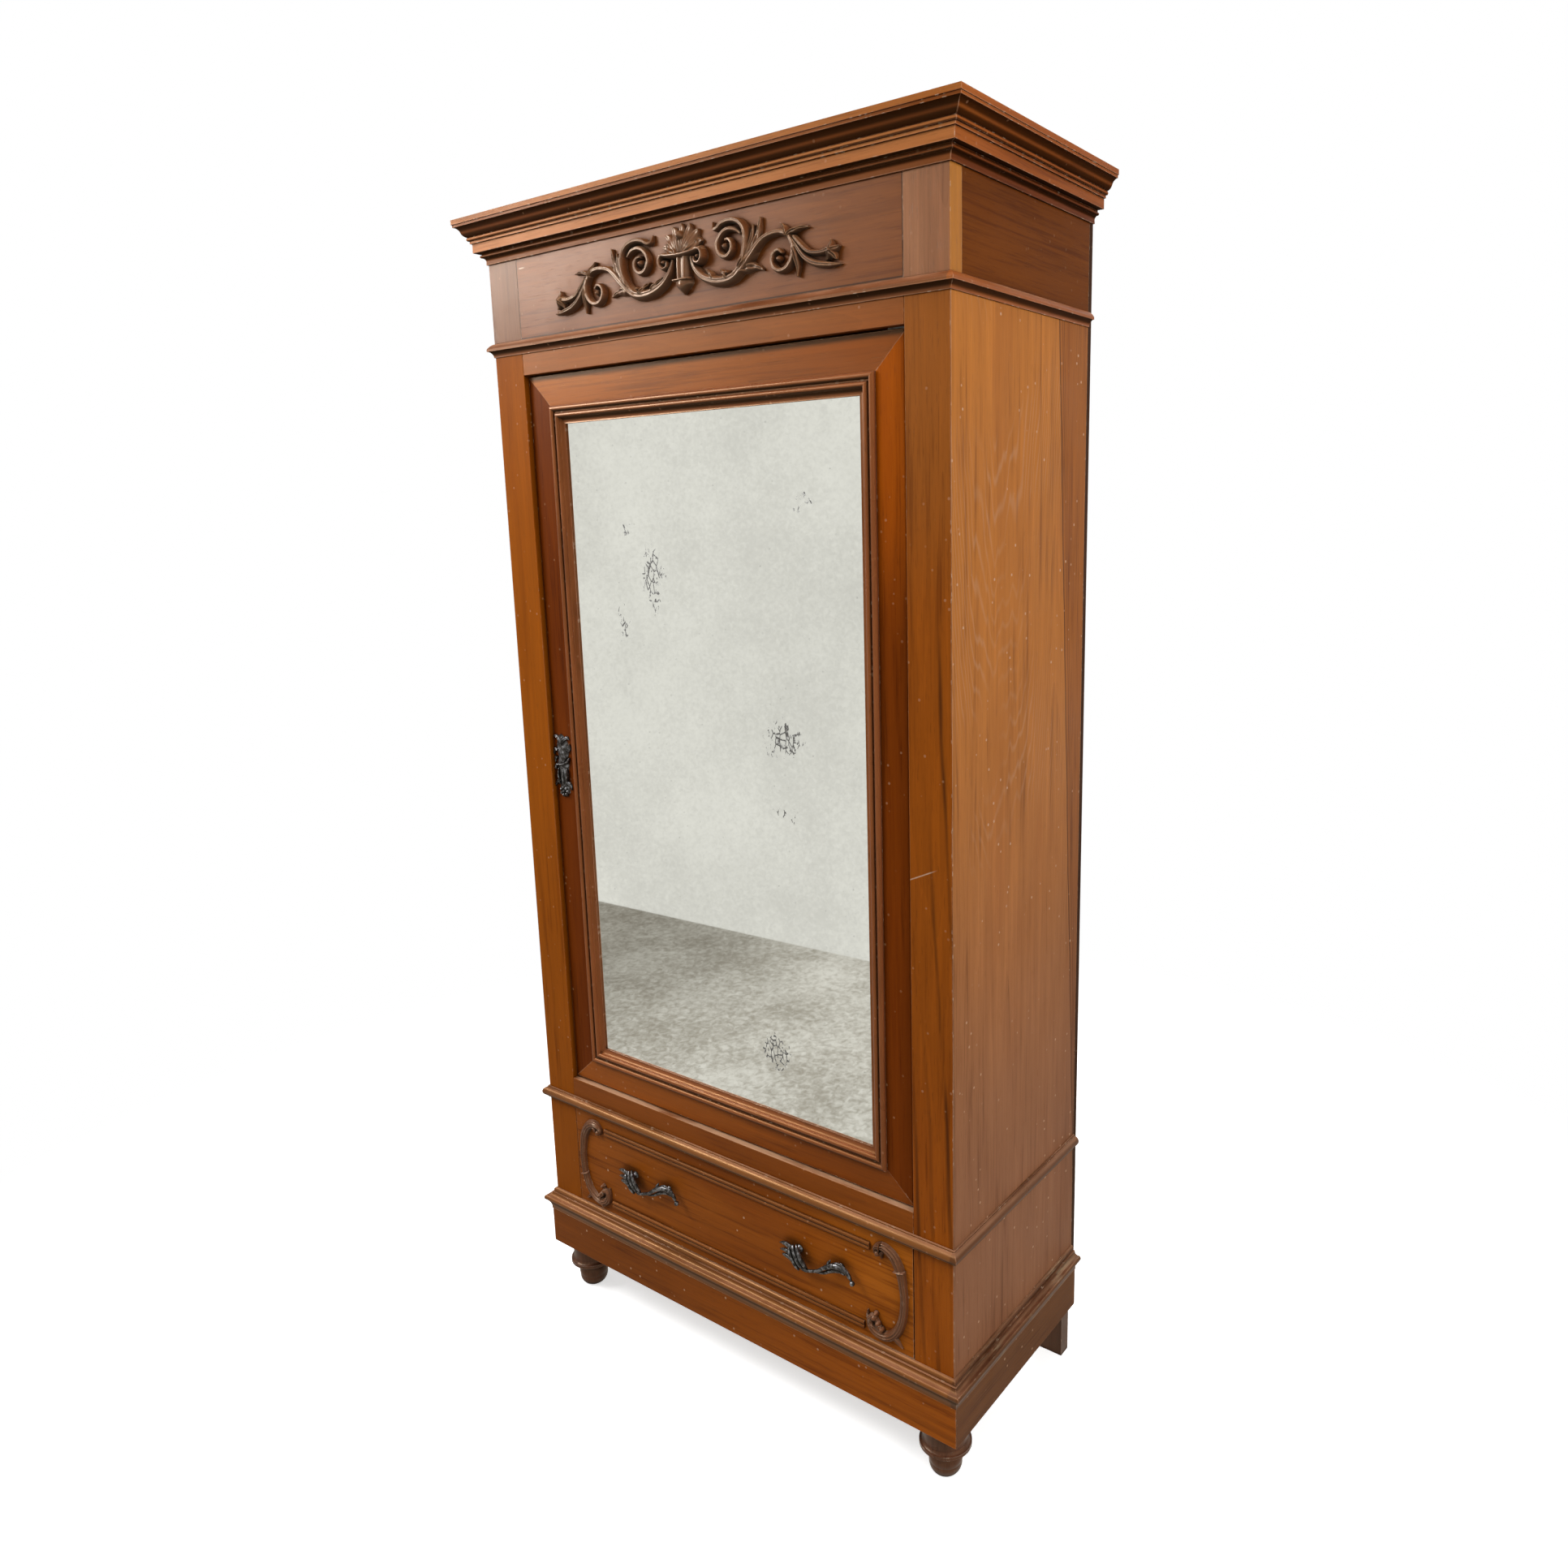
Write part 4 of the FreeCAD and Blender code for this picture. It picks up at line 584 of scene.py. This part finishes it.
class Relief:
    """A piece that stands on an upright face. Across and up count from its middle, and out from the face."""

    sunk = 0.3

    def __init__(self, middle, face, flip=1, stout=1.0, deep=1.0):
        self.mesh = bmesh.new()
        self.middle = middle
        self.face = face
        self.flip = flip
        self.stout = stout
        self.deep = deep

    def spot(self, across, up, out):
        place = Vector((self.middle[0] + self.flip * across, self.face - out, self.middle[1] + up))
        return self.mesh.verts.new(place * MM)

    def skin(self, rings):
        for lower, upper in zip(rings, rings[1:]):
            for number in range(len(lower)):
                following = (number + 1) % len(lower)
                self.mesh.faces.new((lower[number], lower[following], upper[following], upper[number]))
        self.mesh.faces.new(rings[0])
        self.mesh.faces.new(rings[-1])

    def band(self, rows, spacing=1.6, samples=15, vein=0.0, reeds=0, ribs=0):
        """A raised band along rows of (across, up, half width, height, reeding). A vein is a groove down its
        middle. Reeding, from 0 to 1, is how deep the reeds are cut, and ribs cross the band slantwise like
        a leaf's."""
        rows = [tuple(row) + (0.0,) * (5 - len(row)) for row in rows]
        smooth = blended(rows, spacing, 2)
        rings = []
        for number, (row, way) in enumerate(zip(smooth, headings(smooth, 2))):
            across, up, half, height, reeding = row
            half = max(half, 0.25) * self.stout
            height = max(height, 0.3) * self.deep
            travel = number / (len(smooth) - 1)
            ring = [self.spot(across - way.y * half, up + way.x * half, -self.sunk)]
            for part in range(samples):
                share = 1 - 2 * part / (samples - 1)
                rise = max(0.0, 1 - abs(share) ** 2.4) ** 0.6
                rise *= 1 - vein * math.exp(-(share / 0.18) ** 2)
                rise *= 1 - 0.3 * reeding * (0.5 + 0.5 * math.cos(math.pi * reeds * (share + 1)))
                if ribs:
                    rise *= 0.9 + 0.1 * math.cos(2 * math.pi * (ribs * travel - 0.9 * abs(share)))
                side = 0.97 * share * half
                ring.append(self.spot(across - way.y * side, up + way.x * side, 0.05 + rise * height))
            ring.append(self.spot(across + way.y * half, up - way.x * half, -self.sunk))
            rings.append(ring)
        self.skin(rings)

    def leaf(self, root, bend, tip, half, height, lobes=0, vein=0.35, blunt=1.0):
        """A leaf from its root past a bend to its tip, with a vein, notched sides and ribs."""
        rows = []
        count = 14
        for number in range(count + 1):
            share = number / count
            ways = ((1 - share) ** 2, 2 * share * (1 - share), share ** 2)
            across = ways[0] * root[0] + ways[1] * bend[0] + ways[2] * tip[0]
            up = ways[0] * root[1] + ways[1] * bend[1] + ways[2] * tip[1]
            swell = math.sin(math.pi * min(0.97, 0.16 + 0.84 * share ** blunt)) ** 0.8
            notch = 1 - 0.22 * (0.5 - 0.5 * math.cos(2 * math.pi * lobes * share))
            lift = 1 - 0.45 * share + 0.12 * math.sin(math.pi * 2 * share)
            rows.append((across, up, half * swell * notch, height * lift))
        self.band(rows, samples=13, vein=vein, ribs=2 * lobes)

    def dome(self, across, up, radius, height):
        rings = []
        for number in range(7):
            turn = 0.5 * math.pi * number / 6.6
            reach = self.stout * radius * math.cos(turn)
            out = (self.deep * height + self.sunk) * math.sin(turn) - self.sunk
            ring = []
            for part in range(16):
                angle = 2 * math.pi * part / 16
                ring.append(self.spot(across + reach * math.cos(angle), up + reach * math.sin(angle), out))
            rings.append(ring)
        self.skin(rings)

    def limb(self, rows, spacing=1.5, sides=14):
        """A round branch along rows of (across, up, out, radius, depth radius)."""
        smooth = blended(rows, spacing, 3)
        rings = []
        for (across, up, out, radius, deep), way in zip(smooth, headings(smooth, 3)):
            guide = Vector((0, 0, 1)) if abs(way.z) < 0.9 else Vector((0, 1, 0))
            side = way.cross(guide).normalized()
            front = side.cross(way)
            middle = Vector((across, up, out))
            ring = []
            for number in range(sides):
                angle = 2 * math.pi * number / sides
                reach = side * max(radius, 0.3) * math.cos(angle) + front * max(deep, 0.3) * math.sin(angle)
                ring.append(self.spot(*(middle + reach)))
            rings.append(ring)
        self.skin(rings)

    def ball(self, across, up, out, radius):
        rows = []
        for number in range(9):
            turn = math.pi * (number + 0.35) / 8.7
            reach = radius * math.sin(turn)
            rows.append((across - radius * math.cos(turn), up, out, reach, reach))
        self.limb(rows, spacing=50)

    def place(self, name, body, slot, material, *replaced):
        bmesh.ops.recalc_face_normals(self.mesh, faces=self.mesh.faces)
        data = bpy.data.meshes.new(name)
        self.mesh.to_mesh(data)
        self.mesh.free()
        for face in data.polygons:
            face.use_smooth = True
        data.materials.append(material)
        made = bpy.data.objects.new(name, data)
        bpy.context.scene.collection.objects.link(made)
        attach(made, body)
        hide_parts(*replaced)


flower = (299, -17)
petal_reach = 16


def frieze_scroll(carving):
    """Leafy scroll to one side of the torch, with a flower at its far end."""
    carving.band([(20, 13, 2.6, 7), (24, 2, 4, 8), (31, -9, 5.2, 9), (45, -21, 6.5, 9.5), (65, -29, 7.5, 10),
                  (88, -32, 8, 10), (109, -29, 8, 10), (127, -18, 7.5, 10), (143, -5, 6.5, 9.5),
                  (158, 9, 5.6, 9), (172, 18.5, 5, 8.5), (188, 22.5, 4.6, 8.5), (206, 22.5, 4.6, 8.5),
                  (223, 16, 4.6, 8.5)], vein=0.14)
    carving.band([(112, -27, 4, 9), (128, -11, 5.5, 10), (136, 8, 5.4, 10.5), (138, 26, 5, 10.5),
                  (133, 41, 4.6, 10), (121, 51, 4.6, 9.5), (104, 54.5, 4.4, 9), (88, 52, 4, 8.5),
                  (78, 46.5, 3.6, 8), (70, 47, 2.8, 7), (66, 58, 0.5, 3)], vein=0.12)
    carving.band([(126, 32, 2.2, 6), (115, 39.5, 3.6, 7.5), (100, 42, 4, 8), (86, 36, 4.2, 8),
                  (77, 22, 4.2, 8), (82, 8, 4.2, 8), (94, 2.5, 4.2, 8), (105, 8, 4, 8), (108, 19, 3.6, 8),
                  (102, 27, 3, 7.5), (94, 27.5, 2, 7)], vein=0.1)
    carving.dome(94, 17.5, 4.8, 9.5)
    carving.leaf((118, -24), (156, -2), (165, 50), 10, 10.5, lobes=2)
    carving.leaf((122, -18), (148, 6), (151, 41), 7, 12, lobes=1)
    carving.leaf((108, -28), (142, -10), (168, -26), 8.5, 10.5, lobes=2)
    carving.leaf((70, -28), (60, -16), (48, -10), 4.6, 11, lobes=1)
    carving.leaf((98, -31), (90, -19), (77, -14), 5, 11.5, lobes=1)
    carving.dome(100, -22, 3.6, 12)
    carving.band([(222, 15, 3.6, 8), (230, 0, 4.4, 8.5), (228.5, -15, 4.4, 8.5), (219, -28, 4.4, 8.5),
                  (205, -32.5, 4.2, 8.5), (193, -27.5, 4, 8.5), (188, -16, 3.8, 8), (192, -6, 3.4, 8),
                  (201, -2.5, 3, 7.5), (208, -8, 2.2, 7)], vein=0.1)
    carving.dome(202, -15.5, 4.4, 9)
    carving.leaf((219, 15), (215, 27), (205, 35), 4.2, 10)
    carving.leaf((219, 15), (238, 27), (258, 22), 4.8, 10, lobes=1)
    carving.leaf((231, -4), (238, -24), (235, -45), 5.6, 9.5, blunt=0.8)
    carving.band([(224, 12, 3, 7), (237, -3, 3.8, 8), (250, -19, 4.4, 8.5), (268, -30, 4.8, 8.5),
                  (289, -35, 4.4, 8), (303, -36.5, 3, 6), (317, -37, 0.5, 3)], vein=0.22)
    carving.band([(230, 13, 2.4, 7), (245, -2, 3.4, 8), (258, -12.5, 3.8, 8), (276, -16.5, 4, 8),
                  (292, -16, 4.2, 8)], vein=0.16)
    for turn in range(5):
        angle = math.radians(18 + 72 * turn)
        across, rise = petal_reach * math.cos(angle), petal_reach * math.sin(angle)
        bend = (flower[0] + across / 2, flower[1] + rise / 2)
        carving.leaf(flower, bend, (flower[0] + across, flower[1] + rise), 4.8, 9.5, vein=0.3)
    carving.dome(*flower, 4.0, 11)


def frieze_torch(carving):
    """Fluted shaft with a pointed end, a cup rim between two curls, and petals round a bud."""
    carving.band([(0, 17, 14.5, 9, 1), (0, 0, 14, 10, 1), (0, -19, 13, 10, 1)], samples=33, reeds=2)
    carving.band([(-17, -19.5, 2.6, 11), (0, -20, 2.8, 12), (17, -19.5, 2.6, 11)])
    carving.band([(0, -20, 16, 9), (0, -27, 16.5, 10), (0, -33, 10, 9), (0, -38, 4, 6), (0, -42, 0.5, 3)],
                 vein=-0.1)
    carving.band([(-46, 23, 3, 10), (-24, 19.5, 4, 12), (0, 18, 4.6, 12.5), (24, 19.5, 4, 12),
                  (46, 23, 3, 10)])
    for side in (-1, 1):
        carving.band([(side * 24, 20, 3, 10), (side * 38, 22.5, 3.4, 11), (side * 46, 17, 3.6, 11),
                      (side * 46.5, 8, 3.6, 11), (side * 40, 1.5, 3.6, 10.5), (side * 31.5, 3.5, 3.2, 10),
                      (side * 30, 11, 2.2, 9.5)])
        carving.dome(side * 37.5, 10.5, 4, 11)
    for lean, reach, half, height in ((74, 45, 8, 8.5), (50, 47, 8.5, 9), (25, 45, 8.5, 9.5), (0, 44, 8, 9)):
        for side in ((-1, 1) if lean else (1,)):
            angle = math.radians(lean) * side
            tip = (reach * math.sin(angle), 22 + reach * math.cos(angle))
            bend = (0.72 * reach * math.sin(0.9 * angle), 22 + 0.62 * reach * math.cos(0.8 * angle))
            carving.leaf((0.25 * tip[0], 22), bend, tip, half, height, blunt=1.6, vein=0.22)
    for lean, reach, half, height in ((56, 32, 7.5, 12), (22, 27, 7, 12.6)):
        for side in (-1, 1):
            angle = math.radians(lean) * side
            tip = (reach * math.sin(angle) + 6 * side, 20 + reach * math.cos(angle))
            carving.leaf((7 * side, 19), (tip[0], 24), tip, half, height, blunt=1.5, vein=0.28)
    carving.dome(0, 47, 7.6, 13.2)


stile_plane = -203.0
frieze_middle = (0.0, 2035.0)
carving = Relief(frieze_middle, stile_plane, stout=1.14, deep=1.42)
for flip in (1, -1):
    carving.flip = flip
    frieze_scroll(carving)
carving.flip = 1
frieze_torch(carving)
carving.place("frieze_ornament", "carcass", "walnut_carved", materials["carved"], "frieze_carving")

drawer_middle = 336.0
scroll_edge = 411.5


def drawer_scroll(flip, first_reed, last_reed):
    """C-scroll at one end of the drawer, cut into reeds from one row of its line to another."""
    scroll = Relief((flip * scroll_edge, drawer_middle), stile_plane, flip)
    line = [(-65, 70, 4.5, 8), (-66, 78, 5, 8), (-56, 84, 7.5, 9), (-43, 83, 9.5, 9), (-28, 73, 10.5, 9),
            (-16, 52, 10, 9), (-11, 27, 8.2, 8.5), (-8.5, 0, 7.8, 8.5), (-12, -36, 8.2, 8.5),
            (-23, -65, 9, 9), (-41, -83, 9.8, 9), (-62, -86, 10, 9), (-76, -78, 9, 9), (-80, -64, 6.5, 8.5),
            (-73, -55, 4.5, 8)]
    rows = []
    for number, row in enumerate(line):
        rows.append(row + (1.0 if first_reed <= number <= last_reed else 0.6,))
    scroll.band(rows, spacing=1.8, samples=31, reeds=4)
    for number in (first_reed, last_reed + 1):
        across, up, half, height = line[number]
        way = (Vector(line[number + 1][:2]) - Vector((across, up))).normalized()
        reach = half + 0.8
        scroll.band([(across - way.y * reach, up + way.x * reach, 1.6, height),
                     (across, up, 1.8, height + 2),
                     (across + way.y * reach, up - way.x * reach, 1.6, height)])
    scroll.dome(-61, 70, 6.2, 10.5)
    for across, up, radius in ((-70, -58, 6.5), (-62, -66, 5.5), (-54, -74, 5.0), (-66, -48, 4.2)):
        scroll.dome(across, up, radius, 10.5)
    scroll.leaf((-52, -78), (-66, -70), (-70, -46), 6, 11, lobes=2)
    scroll.leaf((-72, -76), (-88, -70), (-84, -48), 5, 9.5, lobes=1)
    scroll.leaf((-30, -76), (-22, -88), (-12, -94), 4.5, 7)
    scroll.leaf((-48, 78), (-58, 70), (-52, 62), 4, 9)
    return scroll


for side, flip, first_reed, last_reed in (("left", -1, 8, 10), ("right", 1, 2, 4)):
    scroll = drawer_scroll(flip, first_reed, last_reed)
    scroll.place("drawer_scroll_" + side, "drawer", "walnut_carved", materials["drawer_carved"],
                 "drawer_scrolls")


def pull(middle):
    """Cast pull: three leaves and a cluster of lobes at the left, a thin neck, a leafy hump and a ball."""
    bar = Relief((middle, drawer_middle), stile_plane)
    bar.limb([(-32, -14, 14, 3.5, 3.5), (-22, -17, 15, 3.2, 3), (-8, -13, 16, 2.9, 2.8),
              (8, -6, 16.5, 3.2, 3), (20, 3, 16.5, 3.8, 3.4), (31, 11, 16.5, 4.6, 4), (43, 17, 16, 5.2, 4.4),
              (57, 19, 15, 5.2, 4.4), (69, 16, 14, 4.6, 4), (77, 8, 14, 3.6, 3.2), (81, 1, 14, 1.8, 1.8)])
    bar.limb([(2, -14, 13, 1.0, 1.0), (20, -7, 13, 2.8, 2.6), (36, 3, 13, 3.8, 3.2), (52, 9, 12.5, 3.4, 3),
              (66, 6, 12, 1.0, 1.0)])
    bar.limb([(28, 9, 14, 1.8, 1.8), (32, 17, 15, 3.2, 2.8), (36, 25, 14, 1.0, 1.0)])
    bar.limb([(42, 21, 15, 1.4, 1.4), (54, 25, 15, 2.4, 2.2), (68, 21, 14, 1.2, 1.2)])
    for shift, lift, thick in ((0, 0, 1.0), (9, 4, 0.85), (-9, -5, 0.85)):
        bar.limb([(-50 + shift, 21 + lift, 13, 2.0 * thick, 2.0),
                  (-44 + shift, 13 + lift, 18, 4.2 * thick, 4),
                  (-37 + shift, 1 + lift, 19, 4.4 * thick, 4.2),
                  (-31 + shift, -10 + lift, 17, 3.8 * thick, 4),
                  (-27 + shift, -18 + lift, 14, 1.6 * thick, 2)])
    for tip, rise, wide in (((-86, 9), 17, 5.0), ((-85, -4), 4, 4.6), ((-75, -14), -6, 4.0)):
        bar.limb([(-46, rise - 5, 14, 4.2, 3.2), (-60, rise, 14, wide, 3),
                  (-74, rise - 2, 11, 0.7 * wide, 2.2), (*tip, 7, 0.6, 0.6)])
    for post in (-44, 50):
        bar.limb([(post, 9, -bar.sunk, 7.5, 7.5), (post, 9, 1.2, 7.3, 7.3), (post, 9, 2.4, 5, 5),
                  (post, 9, 5, 4, 4), (post, 9, 14, 4.4, 4.4)], spacing=4, sides=18)
    bar.ball(83, -2, 14, 4.8)
    return bar


for side, middle in (("left", -204.0), ("right", 220.0)):
    pull(middle).place("drawer_pull_" + side, "drawer", "cast_metal", materials["metal"], "pull_" + side)

plate_middle = (-396.0, 1170.0)
door_plane = stile_plane + 10.0


def lock_plate():
    """Cast escutcheon: a waisted plate with a curled lip, ridges, leaf tips and a rosette."""
    plate = Relief(plate_middle, door_plane)
    plate.band([(0, 60, 4, 2), (-1, 52, 12, 2.8), (0, 41, 18, 3.4), (1, 27, 17, 4), (0, 14, 14, 4),
                (-1, 1, 17, 4), (0, -14, 14, 4), (0, -30, 12, 4), (0, -42, 14, 3.4), (0, -53, 15, 3),
                (0, -61, 5, 2)], samples=21)
    plate.band([(4, 40, 5, 5), (4, 26, 10.5, 7.6), (4, 12, 8.5, 6.8), (3, 4, 4, 5)], samples=21)
    plate.band([(-20, -9, 1.2, 4.5), (-17, 0, 3, 7), (-8, 1, 3.3, 7.8), (4, 3, 3.3, 7.8), (14, 8, 3, 7),
                (20, 16, 1.2, 4.5)])
    for across, half in ((0, 3.8), (-12, 2.2), (12, 2.2)):
        plate.band([(across, -6, half * 0.7, 5), (across, -20, half, 7.4),
                    (0.8 * across, -38, half * 0.7, 5.5)])
    plate.leaf((-8, -30), (-22, -34), (-31, -47), 5, 6.5, lobes=1)
    plate.leaf((8, -32), (20, -36), (21, -48), 4, 5.5)
    plate.leaf((0, 44), (-12, 60), (-24, 56), 5.5, 6, lobes=1)
    plate.leaf((2, 44), (14, 62), (22, 52), 5, 6, lobes=1)
    plate.leaf((0, 42), (1, 54), (-2, 62), 5, 7)
    plate.leaf((-12, 30), (-24, 34), (-24, 20), 4.5, 5.5)
    plate.leaf((-14, 14), (-24, 16), (-21, 4), 3.6, 5)
    plate.leaf((15, 28), (24, 34), (22, 44), 4, 5)
    for number in range(7):
        angle = 2 * math.pi * number / 7
        plate.dome(9 * math.cos(angle), -52 + 7.5 * math.sin(angle), 4.4, 6.4)
    plate.dome(0, -52, 3.6, 7.6)
    return plate


lock_plate().place("lock_plate", "door", "cast_metal", materials["metal"], "escutcheon")


# Softened edges on the boards

def soften(name, width):
    """Rounds the sharp edges of a board that stays as the CAD gives it."""
    board = nodes[name]
    normals = board.data.attributes.get("custom_normal")
    if normals:
        board.data.attributes.remove(normals)
    for face in board.data.polygons:
        face.use_smooth = True
    board.modifiers.new("joined", "WELD").merge_threshold = 0.00001
    rounding = board.modifiers.new("rounded", "BEVEL")
    rounding.width = width
    rounding.segments = 2
    rounding.limit_method = "ANGLE"
    rounding.angle_limit = math.radians(40)
    rounding.harden_normals = True


board_rounding = 1.2 * MM
for finish in ("stile_left", "stile_right", "rail", "side", "frieze_x", "frieze_z", "frieze_y", "plinth_x",
               "plinth_y", "door_hinge", "door_x"):
    for name in finish_of[finish]:
        soften(name, board_rounding)


# Stage: floor, a room that only reflections see, lights and camera

def light_path(tree):
    """1 for what the camera, a reflection or clear glass sees."""
    path = tree.nodes.new("ShaderNodeLightPath")
    seen = path.outputs["Is Camera Ray"]
    for name in ("Is Glossy Ray", "Is Transmission Ray"):
        both = tree.nodes.new("ShaderNodeMath")
        both.operation = "MAXIMUM"
        tree.links.new(seen, both.inputs[0])
        tree.links.new(path.outputs[name], both.inputs[1])
        seen = both.outputs[0]
    return seen


def sheet_of(name, corners, material):
    mesh = bpy.data.meshes.new(name)
    mesh.from_pydata([Vector(corner) for corner in corners], [], [tuple(range(len(corners)))])
    mesh.materials.append(material)
    made = bpy.data.objects.new(name, mesh)
    bpy.context.scene.collection.objects.link(made)
    return made


def floor_material():
    """Floor that looks pale, keeps the shadow and goes over into white away from the armoire. The light that
    it throws back is that of bare concrete."""
    made = Shader("pale_floor")
    made.finish(rgb(0.90, 0.90, 0.90), 0.9)
    white = rgb(1, 1, 1)
    inputs = {0: made.surface.outputs[0], 1: made.glow(white, 0.60).outputs[0]}
    lifted = made.node("ShaderNodeAddShader", inputs).outputs[0]
    spread = made.vector("LENGTH", {0: made.place}, "Value")
    inputs = {0: made.step(spread, 0.9, 2.2), 1: lifted, 2: made.glow(white, 1.0).outputs[0]}
    near = made.node("ShaderNodeMixShader", inputs).outputs[0]
    dull = made.node("ShaderNodeBsdfDiffuse", {"Color": rgb(0.36, 0.34, 0.31)}).outputs[0]
    return made.show(made.node("ShaderNodeMixShader", {0: light_path(made.tree), 1: dull, 2: near}))


def room_material(name, low, high, scale, detail, fade=None):
    """Mottled and pitted surface of the room in the mirror. The fade is (axis, low, high, tint)."""
    made = Shader(name)
    fine = made.noise(made.place, scale * detail, 5.0, 0.7, 0.8)
    mottle = made.added(made.noise(made.place, scale, 6.0, 0.6), 0.4, made.product(fine, 0.6))
    shade = made.ramp(mottle, [(0.36, low), (0.64, high)])
    if fade:
        where, start, end, tint = fade
        shade = made.mix(made.step(made.axis(where), start, end), shade, tint, "MULTIPLY")
    pits = made.product(made.step(made.cells(made.place, 26.0), 0.13, 0.07), made.step(fine, 0.50, 0.56), 0.5)
    shade = made.mix(pits, shade, scaled(low, 0.3))
    return made.show(made.glow(shade, 1.0))


def bright_window(strength):
    made = Shader("bright_window")
    return made.show(made.glow(rgb(1.0, 0.98, 0.95), strength))


def only_in_reflections(thing):
    thing.visible_camera = False
    thing.visible_diffuse = False
    thing.visible_transmission = False
    thing.visible_volume_scatter = False
    thing.visible_shadow = False


sheet_of("floor", [(-9, -9, 0), (9, -9, 0), (9, 9, 0), (-9, 9, 0)], floor_material())
plaster = room_material("plaster_wall", rgb(0.66, 0.65, 0.60), rgb(0.80, 0.79, 0.73), 2.2, 26.0)
by_the_wall = ("X", -0.9, -2.0, rgb(0.58, 0.57, 0.55))
concrete = room_material("concrete_floor", rgb(0.38, 0.35, 0.29), rgb(0.75, 0.73, 0.66), 3.0, 14.0,
                         by_the_wall)
room_half = 3.6
room_height = 4.4
wall_near = -1.92
wall_far = -2.32
floor_lift = 0.0005
window_sill = 2.25
window_head = 3.1
window_from, window_to = -3.3, -2.1
window_y = -1.90
window_strength = 12.5


def upright(start, end, low, high):
    """Corners of an upright sheet over a line on the floor."""
    return [(*start, low), (*end, low), (*end, high), (*start, high)]


def level(height):
    """Corners of a level sheet as large as the room."""
    corners = ((-room_half, wall_far), (room_half, wall_far), (room_half, room_half), (-room_half, room_half))
    return [(*corner, height) for corner in corners]


front_left, front_right = (-room_half, wall_near), (room_half, wall_far)
wall_front = upright(front_left, front_right, 0, room_height)
wall_right = upright(front_right, (room_half, room_half), 0, room_height)
wall_left = upright(front_left, (-room_half, room_half), 0, room_height)
window = upright((window_from, window_y), (window_to, window_y), window_sill, window_head)
dim_plaster = room_material("dim_plaster", rgb(0.24, 0.23, 0.21), rgb(0.32, 0.31, 0.28), 2.2, 12.0)
room_sheets = [("room_wall_front", wall_front, plaster),
               ("room_wall_right", wall_right, plaster),
               ("room_wall_left", wall_left, dim_plaster),
               ("room_ceiling", level(room_height), dim_plaster),
               ("room_floor", level(floor_lift), concrete),
               ("room_window", window, bright_window(window_strength))]
for name, corners, material in room_sheets:
    only_in_reflections(sheet_of(name, corners, material))

world = bpy.data.worlds.new("studio")
bpy.context.scene.world = world
world.use_nodes = True
back = world.node_tree.nodes["Background"]
back.inputs["Color"].default_value = rgb(1.0, 1.0, 1.0)
ambient = 0.28
strength = world.node_tree.nodes.new("ShaderNodeMapRange")
strength.inputs["To Min"].default_value = ambient
strength.inputs["To Max"].default_value = 1.0
world.node_tree.links.new(light_path(world.node_tree), strength.inputs["Value"])
world.node_tree.links.new(strength.outputs[0], back.inputs["Strength"])


def softbox(name, spot, aim, size, power, shines=True):
    """Lamp that is aimed at a point. One that doesn't shine lights the wood and leaves no highlight on it."""
    lamp = bpy.data.lights.new(name, "AREA")
    lamp.shape = "RECTANGLE"
    lamp.size, lamp.size_y = size
    lamp.energy = power
    made = bpy.data.objects.new(name, lamp)
    made.location = spot
    made.rotation_euler = (Vector(aim) - Vector(spot)).to_track_quat("-Z", "Y").to_euler()
    made.visible_glossy = shines
    bpy.context.scene.collection.objects.link(made)


softbox("window_left", (-2.0, -1.75, 2.85), (0, 0, 1.4), (1.4, 1.0), 80)
softbox("fill_right", (3.0, -0.9, 2.6), (0.4, 0, 1.1), (1.6, 1.6), 70, shines=False)
softbox("overhead", (0.2, -0.6, 4.2), (0, 0, 0), (2.2, 2.2), 45)
softbox("behind", (-0.6, 3.4, 2.4), (0, 0.2, 1.1), (2.0, 2.0), 55, shines=False)

photo_size = 1932
focal_px = 1423.996
middle_px = (1062.783, 916.937)
yaw, pitch, roll = 0.6300877, -0.1913558, -0.0180913
camera_place = (1.3831, -1.6391, 1.6302)
forward = Vector((-math.sin(yaw) * math.cos(pitch), math.cos(yaw) * math.cos(pitch), math.sin(pitch)))
level_right = Vector((math.cos(yaw), math.sin(yaw), 0))
level_up = level_right.cross(forward)
right = math.cos(roll) * level_right + math.sin(roll) * level_up
up = math.cos(roll) * level_up - math.sin(roll) * level_right
lens = bpy.data.cameras.new("photo_camera")
lens.sensor_fit = "HORIZONTAL"
lens.sensor_width = 36.0
lens.lens = lens.sensor_width * focal_px / photo_size
lens.shift_x = (photo_size / 2 - middle_px[0]) / photo_size
lens.shift_y = (middle_px[1] - photo_size / 2) / photo_size
camera = bpy.data.objects.new("photo_camera", lens)
camera.matrix_world = Matrix((right, up, -forward)).transposed().to_4x4()
camera.location = camera_place
bpy.context.scene.collection.objects.link(camera)
bpy.context.scene.camera = camera
bpy.context.scene.view_settings.view_transform = "Standard"
